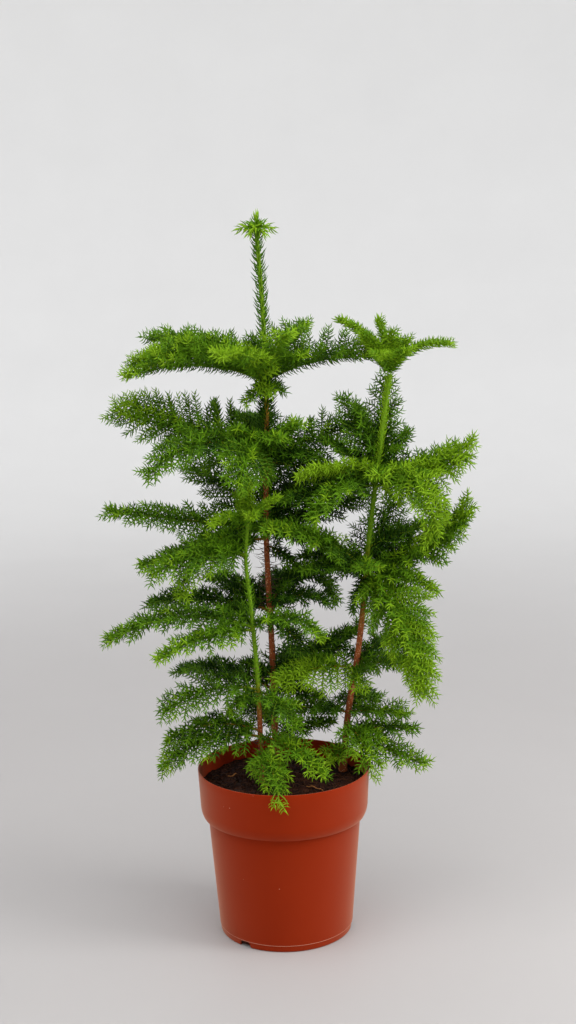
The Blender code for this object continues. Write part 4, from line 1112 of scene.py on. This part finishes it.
class PINE_OT_stems(bpy.types.Operator):
    """Makes the three stems with the relief of their bark, and the needles that stand on them"""
    bl_idname = "pine.stems"
    bl_label = "Stems"

    def execute(self, context):
        settings = context.scene.pine_stems
        foliage = context.scene.pine_foliage
        mat = bark(settings)
        for stem in STEMS:
            obj = new_object(f"{stem.name}_bark", self.relief(stem, settings))
            finished(obj, "bark", mat, f"{stem.name}_stem")
        dry = straw("withered_needles", foliage.withered)
        stems = {stem.name: stem for stem in STEMS}
        for i, row in enumerate(CLOTHING):
            withered = row.kind == "withered"
            shape = needle_shape(row.width / row.length, foliage.curl)
            values = {"Keep Clear Of": bpy.data.objects["peat_ball"], "Pitch": row.pitch,
                      "Length": row.length, "Spread": WILD["withered" if withered else "stem"],
                      "Seed": foliage.seed + i}
            line = stem_line(stems[row.stem], row.low, row.high, row.lean)
            material = dry if withered else green_of(foliage, row.kind)
            for piece in brush(f"{row.stem}_stem_{row.kind}_{i}", [line], shape, values):
                finished(piece, "needles", material)
            bpy.data.objects.remove(shape)
        return {"FINISHED"}

    def relief(self, stem, settings):
        """A stem's bark: round wood with the pegs of old needles in a golden spiral."""
        top = stem.knots[-1][0]
        heights = np.arange(FOOT - 0.006, top, settings.ring_spacing)
        sides = 18
        angles = np.arange(sides) * 2 * math.pi / sides
        height, angle = np.meshgrid(heights, angles, indexing="ij")
        swell = np.zeros_like(height)
        for k, z in enumerate(np.arange(heights[0], top, settings.peg_spacing)):
            near = np.abs(heights - z) < 0.005
            turn = np.angle(np.exp(1j * (angle[near] - k * GOLDEN_ANGLE)))
            swell[near] += np.exp(-((height[near] - z) / 0.0016) ** 2 - (turn / 0.30) ** 2)
        points, ages = [], []
        for i, z in enumerate(heights):
            middle, radius = stem_point(stem, z), stem_radius(stem, z)
            ages += [stem_age(stem, z)] * sides
            for k, a in enumerate(angles):
                spot = Vector((math.cos(a) * 2, math.sin(a) * 2, z * 160))
                rough = radius * (1 + 0.05 * noise.noise(spot)) + settings.peg * swell[i, k]
                points.append(tuple(middle + rough * np.array([math.cos(a), math.sin(a), 0])))
        rings = np.arange(len(points)).reshape(-1, sides).tolist()
        faces = [(low[k], low[(k + 1) % sides], high[(k + 1) % sides], high[k])
                 for low, high in zip(rings, rings[1:]) for k in range(sides)]
        faces += [rings[0][::-1], rings[-1]]
        mesh = bpy.data.meshes.new(f"{stem.name}_bark")
        mesh.from_pydata(points, [], faces)
        mesh.attributes.new("age", "FLOAT", "POINT").data.foreach_set("value", np.array(ages, np.float32))
        mesh.shade_smooth()
        return mesh


class PINE_OT_boughs(bpy.types.Operator):
    """Grows the boughs, twigs and needles of one stem, by the rule that its solids follow"""
    bl_idname = "pine.boughs"
    bl_label = "Boughs"
    stem: StringProperty(name="Stem", description="Name of the stem", default="tall")

    def execute(self, context):
        foliage = context.scene.pine_foliage
        stem = next(s for s in STEMS if s.name == self.stem)
        nodes = [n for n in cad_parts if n.startswith(f"{stem.name}_") and n != f"{stem.name}_stem"]
        wood, needles = grow_stem(stem, foliage, Room())
        twigs = shaped(f"{stem.name}_twigs", lines_mesh("twigs", wood), wood_on_lines,
                       {"Sides": 4, "Material": bpy.data.materials["young_conifer_bark"]})
        finished(twigs, "bark", None, *nodes)
        shape = needle_shape(foliage.needle_width / foliage.needle_length, foliage.curl)
        clear = new_object("clear_of", self.pot_and_peat())
        values = {"Keep Clear Of": clear, "Pitch": foliage.needle_pitch, "Length": foliage.needle_length,
                  "Spread": WILD["twig"], "Seed": foliage.seed + len(stem.name)}
        for tone in TONES:
            for piece in brush(f"{stem.name}_needles_{tone}", needles[tone], shape, values):
                finished(piece, "needles", green_of(foliage, tone), *nodes)
        bpy.data.objects.remove(shape)
        bpy.data.objects.remove(clear)
        return {"FINISHED"}

    def pot_and_peat(self):
        """The pot and the peat as one mesh, for needles to keep clear of."""
        bm = bmesh.new()
        for name in ("nursery_pot", "peat_ball"):
            bm.from_mesh(bpy.data.objects[name].data)
        mesh = bpy.data.meshes.new("clear_of")
        bm.to_mesh(mesh)
        bm.free()
        return mesh


class PINE_OT_stage(bpy.types.Operator):
    """Makes the floor, the soft light and the camera"""
    bl_idname = "pine.stage"
    bl_label = "Stage"

    def execute(self, context):
        stage = context.scene.pine_stage
        scene = context.scene
        profile = [(0.0, 0.0), (1.5, 0.0), (3.0, 0.0)] + arc((3.0, 2.4), 2.4, -90, 0, 24) + [(5.4, 5.0)]
        floor = new_object("floor", mesh_of(turned(profile, 96), "floor", 80))
        floor.data.materials.append(self.painted(stage))
        world = bpy.data.worlds.new("soft_surroundings")
        world.use_nodes = True
        scene.world = world
        fill(world.node_tree.nodes["Background"], {"Color": (*stage.air_color, 1), "Strength": stage.air})
        for name, power, size, place, target in (
                ("top_light", stage.top_light, (2.4, 1.6), (0.0, -0.7, 2.5), (0, 0.05, 0.5)),
                ("left_light", stage.left_light, (1.0, 1.4), (-2.2, -0.7, 1.5), (0, 0, 0.4)),
                ("right_light", stage.right_light, (1.0, 1.4), (2.2, -0.7, 1.5), (0, 0, 0.4))):
            self.light(name, power, size, place, target)
        self.camera(scene)
        scene.view_settings.view_transform = "Standard"
        return {"FINISHED"}

    def painted(self, stage):
        """Matt painted board, faintly uneven over 330 mm, greyer round the pot than at the wall."""
        mat, tree, shader, place = surface("painted_board")
        out = add(tree, "ShaderNodeVectorMath", {0: place}, operation="LENGTH").outputs["Value"]
        far = add(tree, "ShaderNodeMapRange", {"Value": out, "From Min": 1.0, "From Max": 4.4},
                  interpolation_type="SMOOTHSTEP")
        tone = add(tree, "ShaderNodeMix", {0: far, 6: (*stage.floor_color, 1), 7: (*stage.wall_color, 1)},
                   data_type="RGBA").outputs[2]
        fill(shader, {"Base Color": drifting(tree, place, tone, 3.0, 5.0, (0.96, 1.02)), "Roughness": 0.6})
        return mat

    def light(self, name, power, size, place, target):
        """A rectangular soft light that faces a point."""
        data = bpy.data.lights.new(name, "AREA")
        data.shape = "RECTANGLE"
        data.size, data.size_y = size
        data.energy = power
        obj = new_object(name, data)
        obj.location = place
        obj.rotation_euler = (Vector(target) - Vector(place)).to_track_quat("-Z", "Y").to_euler()

    def camera(self, scene):
        """The camera at the photograph's place, pitch and roll, with its focal length in pixels."""
        focal, pitch, roll, picture_height = 1584.7, 0.1814, 0.0182, 1024
        place = (0.0141, -2.3704, 1.1019)
        data = bpy.data.cameras.new("camera")
        data.sensor_width = 36.0
        data.lens = focal / picture_height * data.sensor_width
        obj = new_object("camera", data)
        ahead = np.array([0, math.cos(pitch), -math.sin(pitch)])
        level, upright = np.array([1.0, 0, 0]), np.array([0, math.sin(pitch), math.cos(pitch)])
        right = math.cos(roll) * level - math.sin(roll) * upright
        up = math.sin(roll) * level + math.cos(roll) * upright
        turn = Matrix((right, up, -ahead)).transposed().to_4x4()
        obj.matrix_world = Matrix.Translation(place) @ turn
        scene.camera = obj


GROUPS = {"pine_pot": PinePot, "pine_soil": PineSoil, "pine_stems": PineStems,
          "pine_foliage": PineFoliage, "pine_stage": PineStage}
OPERATORS = (PINE_OT_pot, PINE_OT_soil, PINE_OT_stems, PINE_OT_boughs, PINE_OT_stage)


class PINE_PT_panel(bpy.types.Panel):
    """The pine's pieces and stage"""
    bl_label = "Potted pine"
    bl_idname = "PINE_PT_panel"
    bl_space_type = "VIEW_3D"
    bl_region_type = "UI"
    bl_category = "Pine"

    def draw(self, context):
        for name, operator in zip(GROUPS, OPERATORS):
            group = getattr(context.scene, name)
            box = self.layout.box()
            box.label(text=operator.bl_label)
            for setting in group.bl_rna.properties.keys():
                if setting not in ("rna_type", "name"):
                    box.prop(group, setting)
            box.operator(operator.bl_idname)


CLASSES = (*GROUPS.values(), *OPERATORS, PINE_PT_panel)


def register():
    for cls in CLASSES:
        bpy.utils.register_class(cls)
    for name, group in GROUPS.items():
        setattr(bpy.types.Scene, name, PointerProperty(type=group))


def unregister():
    for name in GROUPS:
        delattr(bpy.types.Scene, name)
    for cls in reversed(CLASSES):
        bpy.utils.unregister_class(cls)


def main():
    """Makes every piece in order."""
    register()
    bpy.ops.pine.pot()
    bpy.ops.pine.soil()
    bpy.ops.pine.stems()
    for stem in STEMS:
        bpy.ops.pine.boughs(stem=stem.name)
    bpy.ops.pine.stage()


if __name__ == "__main__":
    main()
